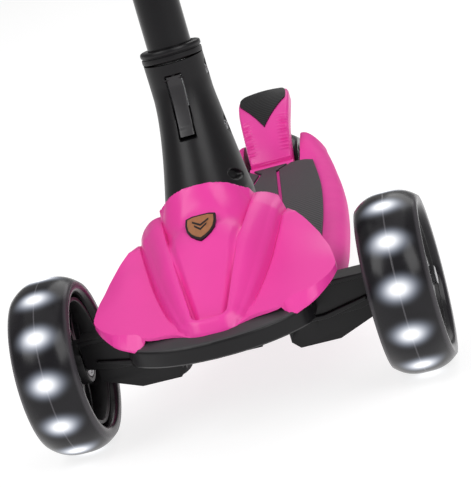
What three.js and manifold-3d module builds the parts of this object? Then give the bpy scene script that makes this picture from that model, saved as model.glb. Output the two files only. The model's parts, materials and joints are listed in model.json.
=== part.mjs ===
// A child's three-wheeled kick scooter that steers when it leans: a moulded deck on a nylon chassis,
// two front wheels on steering arms joined by a tie rod, a rear wheel under a brake fender,
// and a T-bar that lifts out of its neck socket and slides up and down.
// Millimetres, +Z up. The rider faces -Y, so +X is the rider's left.
// The model is laid out from the point on the ground under the front axle.
import * as THREE from "three";
import { mergeVertices } from "three/addons/utils/BufferGeometryUtils.js";
import Module from "manifold-3d";

const wasm = await Module();
wasm.setup();

// ---- Driving dimensions ----
const GAP = 0.3; // between pieces that touch
const RUNNING = 0.6; // between pieces that turn or slide past each other

const FRONT_WHEEL_RADIUS = 60;
const FRONT_TYRE_WIDTH = 41.4;
const FRONT_TRACK = 234.8; // between the middles of the two front tyres
const REAR_WHEEL_RADIUS = 45;
const REAR_TYRE_WIDTH = 40;
const WHEELBASE = 398;
const TYRE_CROWN = 7; // how far the shoulder lies below the crown
const RIM_RADIUS = 43.5;
const REAR_RIM_RADIUS = 31;
const RIM_WIDTH = 32;
const LIGHT_RING_WALL = 1.8;

const AXLE_RADIUS = 4;
const BEARING_RADIUS = 11;
const BEARING_WIDTH = 7;

const KINGPIN_X = 48;
const KINGPIN_Z = 49; // height where the kingpin crosses the plane of the front axle
const KINGPIN_LEAN = THREE.MathUtils.degToRad(15); // its top leans forward, so leaning steers
const KINGPIN_RADIUS = 4;
const BARREL_RADIUS = 14;
const BARREL_BELOW = 9;
const BARREL_ABOVE = 8;
const BUSH_HEIGHT = 4;
const LEVER_REACH = 26; // tie-rod pin behind the front axle
const TIE_PIN_RADIUS = 2.5;
const TIE_ROD_Z = 38.6;
const TIE_ROD_THICKNESS = 5;

const DECK_TOP = 76;
const DECK_EDGE = 60; // lower edge of the deck's side
const DECK_HALF_WIDTH = 75;
const DECK_SHOULDER = 15; // how far the flat top lies inside the edge
const DECK_WALL = 3;
const DECK_FRONT = -14;
const PAD_THICKNESS = 1.7;
const RIM_LINE = 2.5; // pink line left between the pads and the centre strip

const COWL_NOSE = -76;
const COWL_WALL = 3;
const COWL_HALF_WIDTH = 81;

const NECK_TOP = 229.5;
const NECK_FOOT = 84;
const NECK_RADIUS = 20.5;
const NECK_AXIS_Y = 70.5;
const COLLAR_HEIGHT = 8.3;
const COLLAR_RADIUS = 21.2;
const STEM_TILT = THREE.MathUtils.degToRad(4);
const TUBE_RADIUS = 15;
const TUBE_WALL = 1.6;
const SOCKET_DEPTH = 97;
const SLEEVE_WALL = 1.2;
const LOWER_TUBE_LENGTH = 341;
const TUBE_PLAY = 0.7; // between the upper tube and the inside of the lower one
const UPPER_TUBE_RADIUS = TUBE_RADIUS - TUBE_WALL - TUBE_PLAY;
const UPPER_TUBE_LENGTH = 400;
const UPPER_TUBE_OVERLAP = 205; // how much of it stays in the lower tube
const CROSSBAR_LENGTH = 270;
const CROSSBAR_RADIUS = 11;
const GRIP_LENGTH = 92;
const GRIP_RADIUS = 15;

const FENDER_HINGE = { y: 352, z: 72 };
const FENDER_HALF_WIDTH = 21.6;
const FENDER_WALL = 3;
const BRAKE_GAP = 6; // shoe to tyre with the brake up

// ---- Finishes ----
function finish(color, roughness, metalness = 0) {
  return { color, roughness, metalness };
}
const PINK = finish(0xee3f9f, 0.35);
const BLACK_NYLON = finish(0x232226, 0.45);
const DARK_GREY = finish(0x49474d, 0.75);
const SMOKY_PU = finish(0x2b292e, 0.25);
const STEEL = finish(0xb8babd, 0.3, 1);
const ANODISED = finish(0x1b1a1e, 0.22, 0.6);
const RUBBER = finish(0x2a2a2c, 0.8);
const LIGHT = finish(0xe8f2ff, 0.4);
const COPPER = finish(0xb5683a, 0.4, 0.3);

// ---- Solids ----
function solidOf(geometry) {
  const bare = geometry.index ? geometry.toNonIndexed() : geometry.clone();
  const positions = new THREE.BufferGeometry();
  positions.setAttribute("position", bare.getAttribute("position"));
  const merged = mergeVertices(positions, 1e-3);
  const corners = Array.from(merged.index.array);
  const kept = [];
  for (let i = 0; i < corners.length; i += 3) {
    const [a, b, c] = corners.slice(i, i + 3);
    if (a !== b && b !== c && c !== a) kept.push(a, b, c);
  }
  return new wasm.Manifold(
    new wasm.Mesh({
      numProp: 3,
      vertProperties: merged.attributes.position.array,
      triVerts: new Uint32Array(kept),
    }),
  );
}

function geometryOf(solid) {
  const mesh = solid.getMesh();
  const geometry = new THREE.BufferGeometry();
  geometry.setAttribute("position", new THREE.BufferAttribute(new Float32Array(mesh.vertProperties), 3));
  geometry.setIndex(new THREE.BufferAttribute(new Uint32Array(mesh.triVerts), 1));
  geometry.computeVertexNormals();
  return geometry;
}

function joined(first, ...rest) {
  return rest.reduce((whole, piece) => whole.add(piece), first);
}

function cut(whole, ...tools) {
  return tools.reduce((left, tool) => left.subtract(tool), whole);
}

function block(x0, x1, y0, y1, z0, z1) {
  const geometry = new THREE.BoxGeometry(x1 - x0, y1 - y0, z1 - z0);
  geometry.translate((x0 + x1) / 2, (y0 + y1) / 2, (z0 + z1) / 2);
  return solidOf(geometry);
}

function shapeOf(points) {
  return new THREE.Shape(points.map(([x, y]) => new THREE.Vector2(x, y)));
}

// Turns an extrusion made along Z so that the outline's axes lie on the two named axes.
const PLANES = {
  xy: new THREE.Matrix4(),
  yz: new THREE.Matrix4().makeBasis(
    new THREE.Vector3(0, 1, 0),
    new THREE.Vector3(0, 0, 1),
    new THREE.Vector3(1, 0, 0),
  ),
  xz: new THREE.Matrix4().makeBasis(
    new THREE.Vector3(1, 0, 0),
    new THREE.Vector3(0, 0, 1),
    new THREE.Vector3(0, -1, 0),
  ),
};

// Extrudes an outline across its plane from one place to another.
function prism(plane, points, from, to) {
  const geometry = new THREE.ExtrudeGeometry(shapeOf(points), { depth: to - from, bevelEnabled: false });
  geometry.translate(0, 0, plane === "xz" ? -to : from);
  geometry.applyMatrix4(PLANES[plane]);
  return solidOf(geometry);
}

const AXES = { x: [0, 0, -Math.PI / 2], y: [0, 0, 0], z: [Math.PI / 2, 0, 0] };

// A cylinder along an axis, from one place on it to another, through a centre in the other two.
function rod(axis, radius, from, to, centre = [0, 0, 0], sides = 16) {
  const geometry = new THREE.CylinderGeometry(radius, radius, to - from, sides);
  geometry.translate(0, (from + to) / 2, 0);
  geometry.applyMatrix4(new THREE.Matrix4().makeRotationFromEuler(new THREE.Euler(...AXES[axis])));
  geometry.translate(...centre);
  return solidOf(geometry);
}

// A profile of [radius, place along the axis] points turned once round an axis.
function turned(axis, profile, sides = 28, centre = [0, 0, 0]) {
  const closed = profile[0][0] > 0 ? [...profile, profile[0]] : profile;
  let area = 0;
  for (let i = 0; i < profile.length; i++) {
    const [r0, a0] = profile[i];
    const [r1, a1] = profile[(i + 1) % profile.length];
    area += r0 * a1 - r1 * a0;
  }
  const outline = (area > 0 ? closed : [...closed].reverse()).map(([r, a]) => new THREE.Vector2(r, a));
  const geometry = new THREE.LatheGeometry(outline, sides);
  geometry.applyMatrix4(new THREE.Matrix4().makeRotationFromEuler(new THREE.Euler(...AXES[axis])));
  geometry.translate(...centre);
  return solidOf(geometry);
}

function ring(axis, outer, inner, from, to, centre = [0, 0, 0], sides = 14) {
  return turned(axis, [[inner, from], [outer, from], [outer, to], [inner, to]], sides, centre);
}

// Both halves of an outline that is the same on either side of x = 0, from its +X half.
function mirrored(half) {
  return [...half, ...half.map(([x, y]) => [-x, y]).reverse()];
}

function smooth(points, divisions) {
  const curve = new THREE.SplineCurve(points.map(([x, y]) => new THREE.Vector2(x, y)));
  return curve.getPoints(divisions).map((point) => [point.x, point.y]);
}

function ease(value, from, to) {
  return THREE.MathUtils.clamp((value - from) / (to - from), 0, 1);
}

// ---- Assembly ----
const scooter = new THREE.Group();

function place(name, solid, look, parent = scooter) {
  const mesh = new THREE.Mesh(geometryOf(solid), new THREE.MeshStandardMaterial(look));
  mesh.name = name;
  parent.add(mesh);
  return mesh;
}

const leftSide = new THREE.Group();
const rightSide = new THREE.Group();
rightSide.scale.x = -1;
scooter.add(leftSide, rightSide);

// Places a piece made for the rider's left and its mirror image on the right.
function placePair(name, solid, look) {
  place(`${name}_left`, solid, look, leftSide);
  place(`${name}_right`, solid, look, rightSide);
}

// ---- Wheels ----
function tyre(radius, width, inside, centre) {
  const half = width / 2;
  const profile = [[inside, -half + 2]];
  for (let step = -4; step <= 4; step++) {
    const across = (half * step) / 4;
    profile.push([radius - TYRE_CROWN * Math.abs(step / 4) ** 2.6, across]);
  }
  profile.push([inside, half - 2]);
  return turned("x", profile, 28, centre);
}

const SPOKES = 5;
const WEB = 5;
const HUB_RADIUS = BEARING_RADIUS + 4;

function hub(rimRadius, centre) {
  const [x, y, z] = centre;
  const half = RIM_WIDTH / 2;
  const seat = BEARING_RADIUS + GAP;
  const shoulder = half - BEARING_WIDTH - GAP;
  const rimWall = 3;
  const inner = rimRadius - rimWall;
  const profile = [
    [seat - 2, -shoulder], [seat, -shoulder], [seat, -half], [HUB_RADIUS, -half],
    [HUB_RADIUS, -WEB / 2], [inner, -WEB / 2], [inner, -half], [rimRadius, -half],
    [rimRadius, half], [inner, half], [inner, WEB / 2], [HUB_RADIUS, WEB / 2],
    [HUB_RADIUS, half], [seat, half], [seat, shoulder], [seat - 2, shoulder],
  ];
  let wheel = turned("x", profile, 20, centre);
  const holeRadius = (inner - HUB_RADIUS) / 2 - 1.5;
  for (let i = 0; i < SPOKES; i++) {
    const angle = (i * 2 * Math.PI) / SPOKES;
    const reach = (inner + HUB_RADIUS) / 2;
    const middle = [0, y + reach * Math.cos(angle), z + reach * Math.sin(angle)];
    wheel = cut(wheel, rod("x", holeRadius, x - WEB, x + WEB, middle, 8));
  }
  return wheel;
}

function bearing(x, y, z) {
  return ring("x", BEARING_RADIUS, AXLE_RADIUS + GAP, x - BEARING_WIDTH / 2, x + BEARING_WIDTH / 2, [0, y, z]);
}

const WHEEL_X = FRONT_TRACK / 2;
const BEARING_OFFSET = (RIM_WIDTH - BEARING_WIDTH) / 2;
const FRONT_AXLE = [0, 0, FRONT_WHEEL_RADIUS];
const AXLE_HEAD_RADIUS = 6.5;
const AXLE_HEAD = 3.7;

function placeFrontWheels() {
  const centre = [WHEEL_X, 0, FRONT_WHEEL_RADIUS];
  const lightRadius = RIM_RADIUS + GAP + LIGHT_RING_WALL;
  placePair("front_tyre", tyre(FRONT_WHEEL_RADIUS, FRONT_TYRE_WIDTH, lightRadius + GAP, centre), SMOKY_PU);
  placePair("front_hub", hub(RIM_RADIUS, centre), BLACK_NYLON);
  const lights = ring("x", lightRadius, RIM_RADIUS + GAP, WHEEL_X - 7, WHEEL_X + 7, FRONT_AXLE, 28);
  placePair("light_ring", lights, LIGHT);
  placePair("inner_bearing", bearing(WHEEL_X - BEARING_OFFSET, 0, FRONT_WHEEL_RADIUS), STEEL);
  placePair("outer_bearing", bearing(WHEEL_X + BEARING_OFFSET, 0, FRONT_WHEEL_RADIUS), STEEL);
}

const FORK_INSIDE = REAR_TYRE_WIDTH / 2 + 4.6;
const FORK_WALL = 6;
const REAR_AXLE = [0, WHEELBASE, REAR_WHEEL_RADIUS];

function placeRearWheel() {
  place("rear_tyre", tyre(REAR_WHEEL_RADIUS, REAR_TYRE_WIDTH, REAR_RIM_RADIUS + GAP, REAR_AXLE), SMOKY_PU);
  place("rear_hub", hub(REAR_RIM_RADIUS, REAR_AXLE), BLACK_NYLON);
  const outside = FORK_INSIDE + FORK_WALL;
  const head = 4;
  const shank = rod("x", AXLE_RADIUS, -outside - GAP - head, outside + head, REAR_AXLE);
  const bolt = joined(shank, rod("x", AXLE_HEAD_RADIUS, outside + GAP, outside + GAP + head, REAR_AXLE, 6));
  place("rear_axle", bolt, STEEL);
  const nut = rod("x", AXLE_HEAD_RADIUS, -outside - GAP - head, -outside - GAP, REAR_AXLE, 6);
  place("rear_axle_nut", cut(nut, rod("x", AXLE_RADIUS + GAP, -60, 0, REAR_AXLE)), STEEL);
  for (const [name, side] of [["left", 1], ["right", -1]]) {
    place(`rear_bearing_${name}`, bearing(side * BEARING_OFFSET, WHEELBASE, REAR_WHEEL_RADIUS), STEEL);
    const ends = [side * (RIM_WIDTH / 2 + GAP), side * (FORK_INSIDE - GAP)].sort((a, b) => a - b);
    place(`rear_spacer_${name}`, ring("x", AXLE_RADIUS + 2, AXLE_RADIUS + GAP, ...ends, REAR_AXLE), STEEL);
  }
}

// ---- Steering ----
// Moves a solid made along Z at the origin onto the leaning left kingpin.
function onKingpin(geometry) {
  geometry.applyMatrix4(new THREE.Matrix4().makeRotationX(KINGPIN_LEAN));
  geometry.translate(KINGPIN_X, 0, KINGPIN_Z);
  return solidOf(geometry);
}

function kingpinRod(radius, from, to, sides = 16) {
  const geometry = new THREE.CylinderGeometry(radius, radius, to - from, sides);
  geometry.translate(0, (from + to) / 2, 0);
  geometry.rotateX(Math.PI / 2);
  return onKingpin(geometry);
}

const KINGPIN_HEAD_RADIUS = 6.5;
const KINGPIN_HEAD = 4;
const BOSS_RADIUS = 13;
const BOSS_BOTTOM = BARREL_ABOVE + BUSH_HEIGHT + 2 * GAP;
const KINGPIN_TOP = BOSS_BOTTOM + 6;
const TIE_PIN_Y = LEVER_REACH;
const ARM_HALF_DEPTH = 12;
const ARM_END_RADIUS = 13;

// The arm seen from the front: pivot end, low waist under the deck's edge, rise to the axle.
function armOutline() {
  const axle = FRONT_WHEEL_RADIUS;
  const inner = KINGPIN_X - 12;
  const end = WHEEL_X - FRONT_TYRE_WIDTH / 2 - 3;
  return [
    [inner, KINGPIN_Z + 4], [inner, KINGPIN_Z - 7], [inner + 5, KINGPIN_Z - 12],
    [KINGPIN_X + 20, KINGPIN_Z - 12], [end, axle - ARM_END_RADIUS], [end, axle + ARM_END_RADIUS],
    [end - 9, axle + ARM_END_RADIUS], [end - 14, axle], [KINGPIN_X + 27, KINGPIN_Z + 4],
  ];
}

function steeringArm() {
  const wheelFace = WHEEL_X - RIM_WIDTH / 2;
  const leverTop = TIE_ROD_Z + TIE_ROD_THICKNESS + RUNNING + 6;
  const leverBottom = TIE_ROD_Z + TIE_ROD_THICKNESS + RUNNING;
  const body = joined(
    prism("xz", armOutline(), -ARM_HALF_DEPTH, ARM_HALF_DEPTH),
    kingpinRod(BARREL_RADIUS, -BARREL_BELOW, BARREL_ABOVE, 24),
    rod("x", AXLE_RADIUS + 3, WHEEL_X - FRONT_TYRE_WIDTH / 2 - 4, wheelFace - GAP, FRONT_AXLE),
    block(KINGPIN_X - 6, KINGPIN_X + 6, 4, TIE_PIN_Y + 5, leverBottom, leverTop),
    rod("z", TIE_PIN_RADIUS, TIE_ROD_Z - 1, leverTop - 1, [KINGPIN_X, TIE_PIN_Y, 0], 14),
  );
  return cut(
    body,
    kingpinRod(KINGPIN_RADIUS + GAP, -BARREL_BELOW - 9, BARREL_ABOVE + 9),
    kingpinRod(KINGPIN_HEAD_RADIUS + GAP, -BARREL_BELOW - 9, -BARREL_BELOW + KINGPIN_HEAD + GAP),
    kingpinRod(BARREL_RADIUS + 6, BARREL_ABOVE, BARREL_ABOVE + 12),
    rod("x", AXLE_RADIUS + GAP, WHEEL_X - 48, WHEEL_X, FRONT_AXLE),
  );
}

function frontAxle() {
  const outerFace = WHEEL_X + RIM_WIDTH / 2 + GAP;
  return joined(
    rod("x", AXLE_RADIUS, WHEEL_X - 47, outerFace + 1, FRONT_AXLE),
    rod("x", AXLE_HEAD_RADIUS, outerFace, outerFace + AXLE_HEAD, FRONT_AXLE, 6),
  );
}

function kingpin() {
  const head = -BARREL_BELOW + KINGPIN_HEAD;
  return joined(
    kingpinRod(KINGPIN_HEAD_RADIUS, head - KINGPIN_HEAD, head, 6),
    kingpinRod(KINGPIN_RADIUS, head - 1, KINGPIN_TOP),
  );
}

function tieRod() {
  const eye = TIE_PIN_RADIUS + 5;
  const top = TIE_ROD_Z + TIE_ROD_THICKNESS;
  const bar = block(-KINGPIN_X, KINGPIN_X, TIE_PIN_Y - 4, TIE_PIN_Y + 4, TIE_ROD_Z, top);
  let whole = bar;
  for (const x of [-KINGPIN_X, KINGPIN_X]) whole = joined(whole, rod("z", eye, TIE_ROD_Z, top, [x, TIE_PIN_Y, 0]));
  for (const x of [-KINGPIN_X, KINGPIN_X]) {
    whole = cut(whole, rod("z", TIE_PIN_RADIUS + 1.1, TIE_ROD_Z - 1, top + 1, [x, TIE_PIN_Y, 0], 14));
  }
  return whole;
}

function placeSteering() {
  placePair("steering_arm", steeringArm(), BLACK_NYLON);
  placePair("front_axle", frontAxle(), STEEL);
  placePair("kingpin", kingpin(), STEEL);
  const bush = cut(
    kingpinRod(BOSS_RADIUS - 2, BARREL_ABOVE + GAP, BARREL_ABOVE + GAP + BUSH_HEIGHT),
    kingpinRod(KINGPIN_RADIUS + GAP, 0, KINGPIN_TOP),
  );
  placePair("centring_bush", bush, RUBBER);
  place("tie_rod", tieRod(), BLACK_NYLON);
}

// ---- Deck ----
const DECK_END = WHEELBASE + 14;
const NOTCH_HALF = FORK_INSIDE - 0.2;
const NOTCH_FRONT = FENDER_HINGE.y - 7.5;

// Half of the deck's edge seen from above: widest just behind the front wheels, slim at the rear.
function deckEdge(inset = 0) {
  const full = DECK_HALF_WIDTH - inset;
  const length = DECK_END - DECK_FRONT;
  const station = (share) => DECK_FRONT + inset + (length - 2 * inset) * share;
  const narrowing = [
    [0, 34], [0.012, 22], [0.045, 10], [0.1, 3], [0.18, 0], [0.3, 1], [0.45, 4.5], [0.62, 11], [0.8, 22], [1, 34],
  ];
  return smooth(narrowing.map(([share, less]) => [full - less, station(share)]), 20);
}

// The deck's outer form: flat on top, rounded down to its edge.
function deckForm(inset, top) {
  const rise = top - DECK_EDGE - 2;
  const outline = shapeOf(mirrored(deckEdge(inset)));
  const geometry = new THREE.ExtrudeGeometry(outline, {
    depth: 2,
    bevelThickness: rise,
    bevelSize: DECK_SHOULDER - 1,
    bevelOffset: 1 - DECK_SHOULDER,
    bevelSegments: 2,
  });
  geometry.translate(0, 0, DECK_EDGE);
  return solidOf(geometry);
}

const EAR_WIDTH = 14;
const PLATE_TOP = DECK_TOP - DECK_WALL - 1 - GAP - 0.7;
const PLATE_WIDE_END = 8; // the chassis plate is widest ahead of here, round the kingpins

// The two ears that stand beside the brake fender and carry its hinge.
function ears() {
  const profile = [
    [NOTCH_FRONT - 6, DECK_EDGE], [NOTCH_FRONT - 6, DECK_TOP - 6], [NOTCH_FRONT + 8, DECK_TOP + 1],
    [WHEELBASE - 20, DECK_TOP + 9], [WHEELBASE - 4, DECK_TOP + 14], [WHEELBASE + 10, DECK_TOP + 14],
    [WHEELBASE + 18, DECK_TOP + 8], [WHEELBASE + 20, DECK_TOP - 4], [WHEELBASE + 12, DECK_EDGE],
  ];
  const full = prism("yz", profile, NOTCH_HALF, NOTCH_HALF + EAR_WIDTH);
  const inner = NOTCH_HALF + 2;
  const outer = NOTCH_HALF + EAR_WIDTH;
  const section = [[0, 0], [outer, 0], [outer, DECK_TOP - 8], [outer - 3, DECK_TOP], [inner, DECK_TOP + 14], [0, DECK_TOP + 14]];
  const left = full.intersect(prism("xz", section, NOTCH_FRONT - 10, DECK_END + 20));
  return joined(left, mirror(left));
}

function deckShell() {
  const below = block(-200, 200, DECK_FRONT - 50, DECK_END + 50, 0, DECK_EDGE);
  const wheelSlot = block(-NOTCH_HALF, NOTCH_HALF, NOTCH_FRONT, DECK_END + 50, 0, 200);
  const hollow = cut(deckForm(DECK_WALL, DECK_TOP - DECK_WALL - 1), block(-200, 200, NOTCH_FRONT - 8, 600, 0, 200));
  return cut(
    joined(deckForm(0, DECK_TOP), ears()),
    hollow,
    below,
    block(-KINGPIN_X - 14, KINGPIN_X + 14, DECK_FRONT - 9, PLATE_WIDE_END + 2, 0, PLATE_TOP + GAP),
    wheelSlot,
    neckForm(0.5),
    rod("x", 2.5 + GAP, -NOTCH_HALF - 9, NOTCH_HALF + 9, [0, FENDER_HINGE.y, FENDER_HINGE.z]),
  );
}

// Half-width of the centre strip at a place along the deck; it kinks in front of the fender.
const KINK_Y = 326;
const STRIP_REAR = NOTCH_FRONT - 3;
const STRIP_FRONT = 97;
const STRIP_KINK = 6;

function stripHalfWidth(y) {
  if (y > KINK_Y) return STRIP_KINK + 8 * ease(y, KINK_Y, STRIP_REAR);
  return STRIP_KINK + 22 * ease(y, KINK_Y, 130);
}

function centreStrip() {
  const stations = [STRIP_FRONT, 130, KINK_Y, STRIP_REAR];
  const half = stations.map((y) => [stripHalfWidth(y), y]);
  const low = DECK_TOP + GAP;
  return prism("xy", mirrored(half), low, low + PAD_THICKNESS);
}

// The grip pad for the left foot side, between the centre strip and the deck's shoulder.
function gripPad() {
  const front = 34;
  const rear = STRIP_REAR;
  const outer = deckEdge()
    .map(([x, y]) => [x - DECK_SHOULDER - 2, y])
    .filter(([, y]) => y > front && y < rear - 8);
  const inner = [130, KINK_Y].map((y) => [stripHalfWidth(y) + RIM_LINE, y]);
  const rearInner = [stripHalfWidth(rear) + RIM_LINE + 1, rear];
  const outline = [[stripHalfWidth(130) + RIM_LINE + 4, front], ...outer, [rearInner[0] + 5, rear], rearInner];
  const low = DECK_TOP + GAP;
  return prism("xy", [...outline, ...inner.reverse()], low, low + PAD_THICKNESS);
}

function placeDeck() {
  place("deck_shell", deckShell(), PINK);
  placePair("grip_pad", gripPad(), DARK_GREY);
  place("centre_strip", centreStrip(), DARK_GREY);
}

// ---- Chassis ----
const SPINE_HALF = 22;
const SPINE_BOTTOM = 53;

function chassis() {
  const spineEnd = NOTCH_FRONT - 9;
  const fork = FORK_INSIDE + FORK_WALL;
  const forkTop = DECK_EDGE - GAP;
  const crossFront = NOTCH_FRONT - 18;
  let body = joined(
    block(-KINGPIN_X - 11, KINGPIN_X + 11, -40, PLATE_WIDE_END, 62, PLATE_TOP),
    block(-SPINE_HALF - 14, SPINE_HALF + 14, 0, 40, 62, PLATE_TOP),
    block(-SPINE_HALF, SPINE_HALF, -40, spineEnd, SPINE_BOTTOM, PLATE_TOP),
    block(-fork, fork, crossFront, NOTCH_FRONT - 2, 42, forkTop),
  );
  const leg = [
    [crossFront, 42], [crossFront, forkTop], [WHEELBASE + 8, forkTop], [WHEELBASE + 13, REAR_WHEEL_RADIUS],
    [WHEELBASE + 6, REAR_WHEEL_RADIUS - 12], [WHEELBASE - 6, REAR_WHEEL_RADIUS - 12],
  ];
  body = joined(body, prism("yz", leg, FORK_INSIDE, fork), prism("yz", leg, -fork, -FORK_INSIDE));
  const bosses = [kingpinRod(BOSS_RADIUS, BOSS_BOTTOM, BOSS_BOTTOM + 14, 28)];
  bosses.push(mirror(bosses[0]));
  const ceiling = block(-90, 90, -60, 60, PLATE_TOP, PLATE_TOP + 20);
  body = cut(joined(body, ...bosses), ceiling);
  const pinHole = kingpinRod(KINGPIN_RADIUS + GAP, 0, KINGPIN_TOP + GAP);
  const bushRoom = kingpinRod(BOSS_RADIUS + 1, BARREL_ABOVE - 8, BOSS_BOTTOM);
  body = cut(body, bushRoom, mirror(bushRoom), pinHole, mirror(pinHole), rod("x", AXLE_RADIUS + GAP, -60, 60, REAR_AXLE));
  const pocket = 38;
  for (let y = 60; y + pocket < spineEnd - 6; y += pocket + 6) {
    const inside = SPINE_HALF - 4;
    body = cut(body, block(-inside, inside, y, y + pocket, SPINE_BOTTOM - 1, PLATE_TOP - 5));
  }
  return cut(body, neckForm(0.5));
}

function mirror(solid) {
  const geometry = geometryOf(solid);
  geometry.scale(-1, 1, 1);
  const index = geometry.index.array;
  for (let i = 0; i < index.length; i += 3) [index[i], index[i + 1]] = [index[i + 1], index[i]];
  return solidOf(geometry);
}

// The bumper between the steering arms: a curved nose with a sloping top ledge.
function bumper() {
  const half = [[0, -85], [28, -80], [46, -71.5], [57, -63], [62, -54], [62, -41]];
  const side = [[-86, 69], [-85, 74], [-81.5, 76.5], [-60, 79.5], [-41, 79.5], [-41, 63], [-60, 64], [-80, 65.5]];
  const nose = prism("xy", mirrored(half), 60, 82).intersect(prism("yz", side, -70, 70));
  const lipRoom = block(43, 80, -82, -30, 75.4, 90);
  return cut(nose, lipRoom, mirror(lipRoom));
}

// ---- Cowl ----
const COWL_REAR = 101;
const BACK_CREST = 38; // behind here the cowl falls away to the deck
const COWL_SKIRT = DECK_TOP + PAD_THICKNESS + 2 * GAP;

// Height of the cowl's ridge line on the middle plane, climbing from its nose up the neck.
function middleHeight(y) {
  const climb = y < -18 ? 127 + 0.87 * (y + 18) : 127 + 0.53 * (y + 18);
  const upNeck = Math.max(0, y + 2) ** 1.35 * 0.24;
  return climb + upNeck;
}

function tongueHalfWidth(y) {
  return 10.5 + (y + 67) * 0.235;
}

function ridgeHalfWidth(y) {
  return 17 + (y + 73) * 0.31;
}

function wingHeight(x, y) {
  const droop = 0.0068 * Math.max(0, Math.abs(x) - 45) ** 2;
  return 111 + 0.4375 * Math.min(y, 18) - droop;
}

function cowlHeight(x, y) {
  const across = Math.abs(x);
  const tongue = tongueHalfWidth(y);
  const ridge = ridgeHalfWidth(y);
  const rounding = 0.009 + 0.0285 * ease(y, -30, 36) ** 2;
  const centre = middleHeight(y) - rounding * Math.min(across, tongue) ** 2;
  const wing = wingHeight(x, y);
  const back = y > BACK_CREST ? 135 - 1.3 * (y - BACK_CREST) : 135 + 1.5 * (BACK_CREST - y);
  const share = ease(across, tongue, ridge);
  const front = across <= tongue ? centre : THREE.MathUtils.lerp(centre + 2.5, wing + 4 - share, share);
  return Math.max(y < -58 ? 85 : COWL_SKIRT + 4, Math.min(front, back));
}

// The space under the cowl's surface, lowered by some depth, down to a floor.
function underCowl(lowered, floor) {
  const width = 2 * COWL_HALF_WIDTH + 8;
  const length = COWL_REAR - COWL_NOSE + 8;
  const geometry = new THREE.BoxGeometry(width, length, 1, 18, 22, 1);
  geometry.translate(0, (COWL_NOSE + COWL_REAR) / 2, 0);
  const points = geometry.getAttribute("position");
  for (let i = 0; i < points.count; i++) {
    const top = cowlHeight(points.getX(i), points.getY(i)) - lowered;
    points.setZ(i, points.getZ(i) > 0 ? top : floor);
  }
  return solidOf(geometry);
}

// Half of the cowl seen from above: tongue, notch over the bumper, front lip, wing tip, back.
function cowlEdge(inset) {
  const tip = COWL_HALF_WIDTH - inset;
  const notch = -64 + inset;
  return [
    [0, COWL_NOSE + inset], [9, COWL_NOSE + 0.6 + inset], [14.5 - inset / 2, COWL_NOSE + 3 + inset],
    [19 - inset / 2, notch], [47 + inset / 2, notch], [50 + inset / 2, -63.5 + inset], [60, -60 + inset],
    [70 - inset / 2, -54 + inset], [tip - 3, -42], [tip, -32], [tip - 4, -12], [72 - inset, 3],
    [60 - inset, 15 - inset], [50 - inset, 22 - inset], [49 - inset, 40], [44 - inset, 56],
    [38 - inset, 78 - inset / 2], [28, 95 - inset], [12, COWL_REAR - inset], [0, COWL_REAR - inset],
  ];
}

function frontCowl() {
  const outside = underCowl(0, COWL_SKIRT).intersect(prism("xy", mirrored(cowlEdge(0)), 0, 250));
  const inside = underCowl(COWL_WALL, 0).intersect(prism("xy", mirrored(cowlEdge(COWL_WALL)), 0, 250));
  const ledge = 81.5;
  const overBumper = block(-47, 47, -120, -50, 0, ledge);
  const rising = [[58, 60], [58, 77], [90, 92], [90, 60]];
  const underTip = prism("xz", rising, -90, -12);
  return cut(outside, inside, overBumper, underTip, mirror(underTip), neckForm(0.4), badgeForm(GAP));
}

// The badge: a small shield that lies in the cowl above the tongue.
const BADGE = { y: -9, half: 10.6, length: 25, thickness: 2.4 };

function badgeForm(clearance) {
  const { half, length, thickness } = BADGE;
  const wide = half + clearance;
  const top = length / 2 + clearance;
  const shield = mirrored([[0, top], [wide, top - 2], [wide - 0.6, -1], [wide - 4, -length * 0.3], [0, -top]]);
  const geometry = new THREE.ExtrudeGeometry(shapeOf(shield.reverse()), { depth: thickness + clearance, bevelEnabled: false });
  const rise = Math.atan2(middleHeight(BADGE.y + 8) - middleHeight(BADGE.y - 8), 16);
  geometry.rotateX(rise);
  geometry.translate(0, BADGE.y, middleHeight(BADGE.y) - thickness + 0.4 - clearance);
  return solidOf(geometry);
}

function placeFront() {
  place("chassis", chassis(), BLACK_NYLON);
  place("front_bumper", bumper(), BLACK_NYLON);
  place("front_cowl", frontCowl(), PINK);
  place("shield_badge", badgeForm(0), COPPER);
}

// ---- Neck ----
const NECK_BACK = 91.5;
const NECK_SPLIT = 77;
const SOCKET_BORE = TUBE_RADIUS + GAP + SLEEVE_WALL + GAP;

// The neck at a height: half-width, middle of its section, and its front.
function neckSection(z) {
  const widen = ease(z, 205, 135) ** 1.35;
  const forward = ease(z, 215, 140) ** 1.5;
  const shift = ease(z, 195, 140) ** 1.6;
  return {
    half: NECK_RADIUS + 10 * widen,
    middle: NECK_AXIS_Y - 19.5 * shift,
    front: NECK_AXIS_Y - NECK_RADIUS - 38 * forward,
  };
}

// The neck's outer form, grown by a clearance and carried down below its foot.
function neckForm(clearance) {
  const foot = NECK_FOOT - clearance;
  const geometry = new THREE.CylinderGeometry(1, 1, NECK_TOP - foot, 24, 8);
  geometry.rotateX(Math.PI / 2);
  geometry.translate(0, 0, (NECK_TOP + foot) / 2);
  const points = geometry.getAttribute("position");
  for (let i = 0; i < points.count; i++) {
    const { half, middle, front } = neckSection(points.getZ(i));
    const reach = points.getY(i) < 0 ? middle - front : NECK_BACK - middle;
    points.setX(i, points.getX(i) * (half + clearance));
    points.setY(i, middle + points.getY(i) * (reach + clearance));
  }
  return solidOf(geometry);
}

const TAB = { half: 5, top: 219, bottom: 182, thickness: 1.8 };

// The line of the release tab's face, a little inside the neck's front.
function tabFace(z) {
  return neckSection(z).front + 0.6;
}

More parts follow.
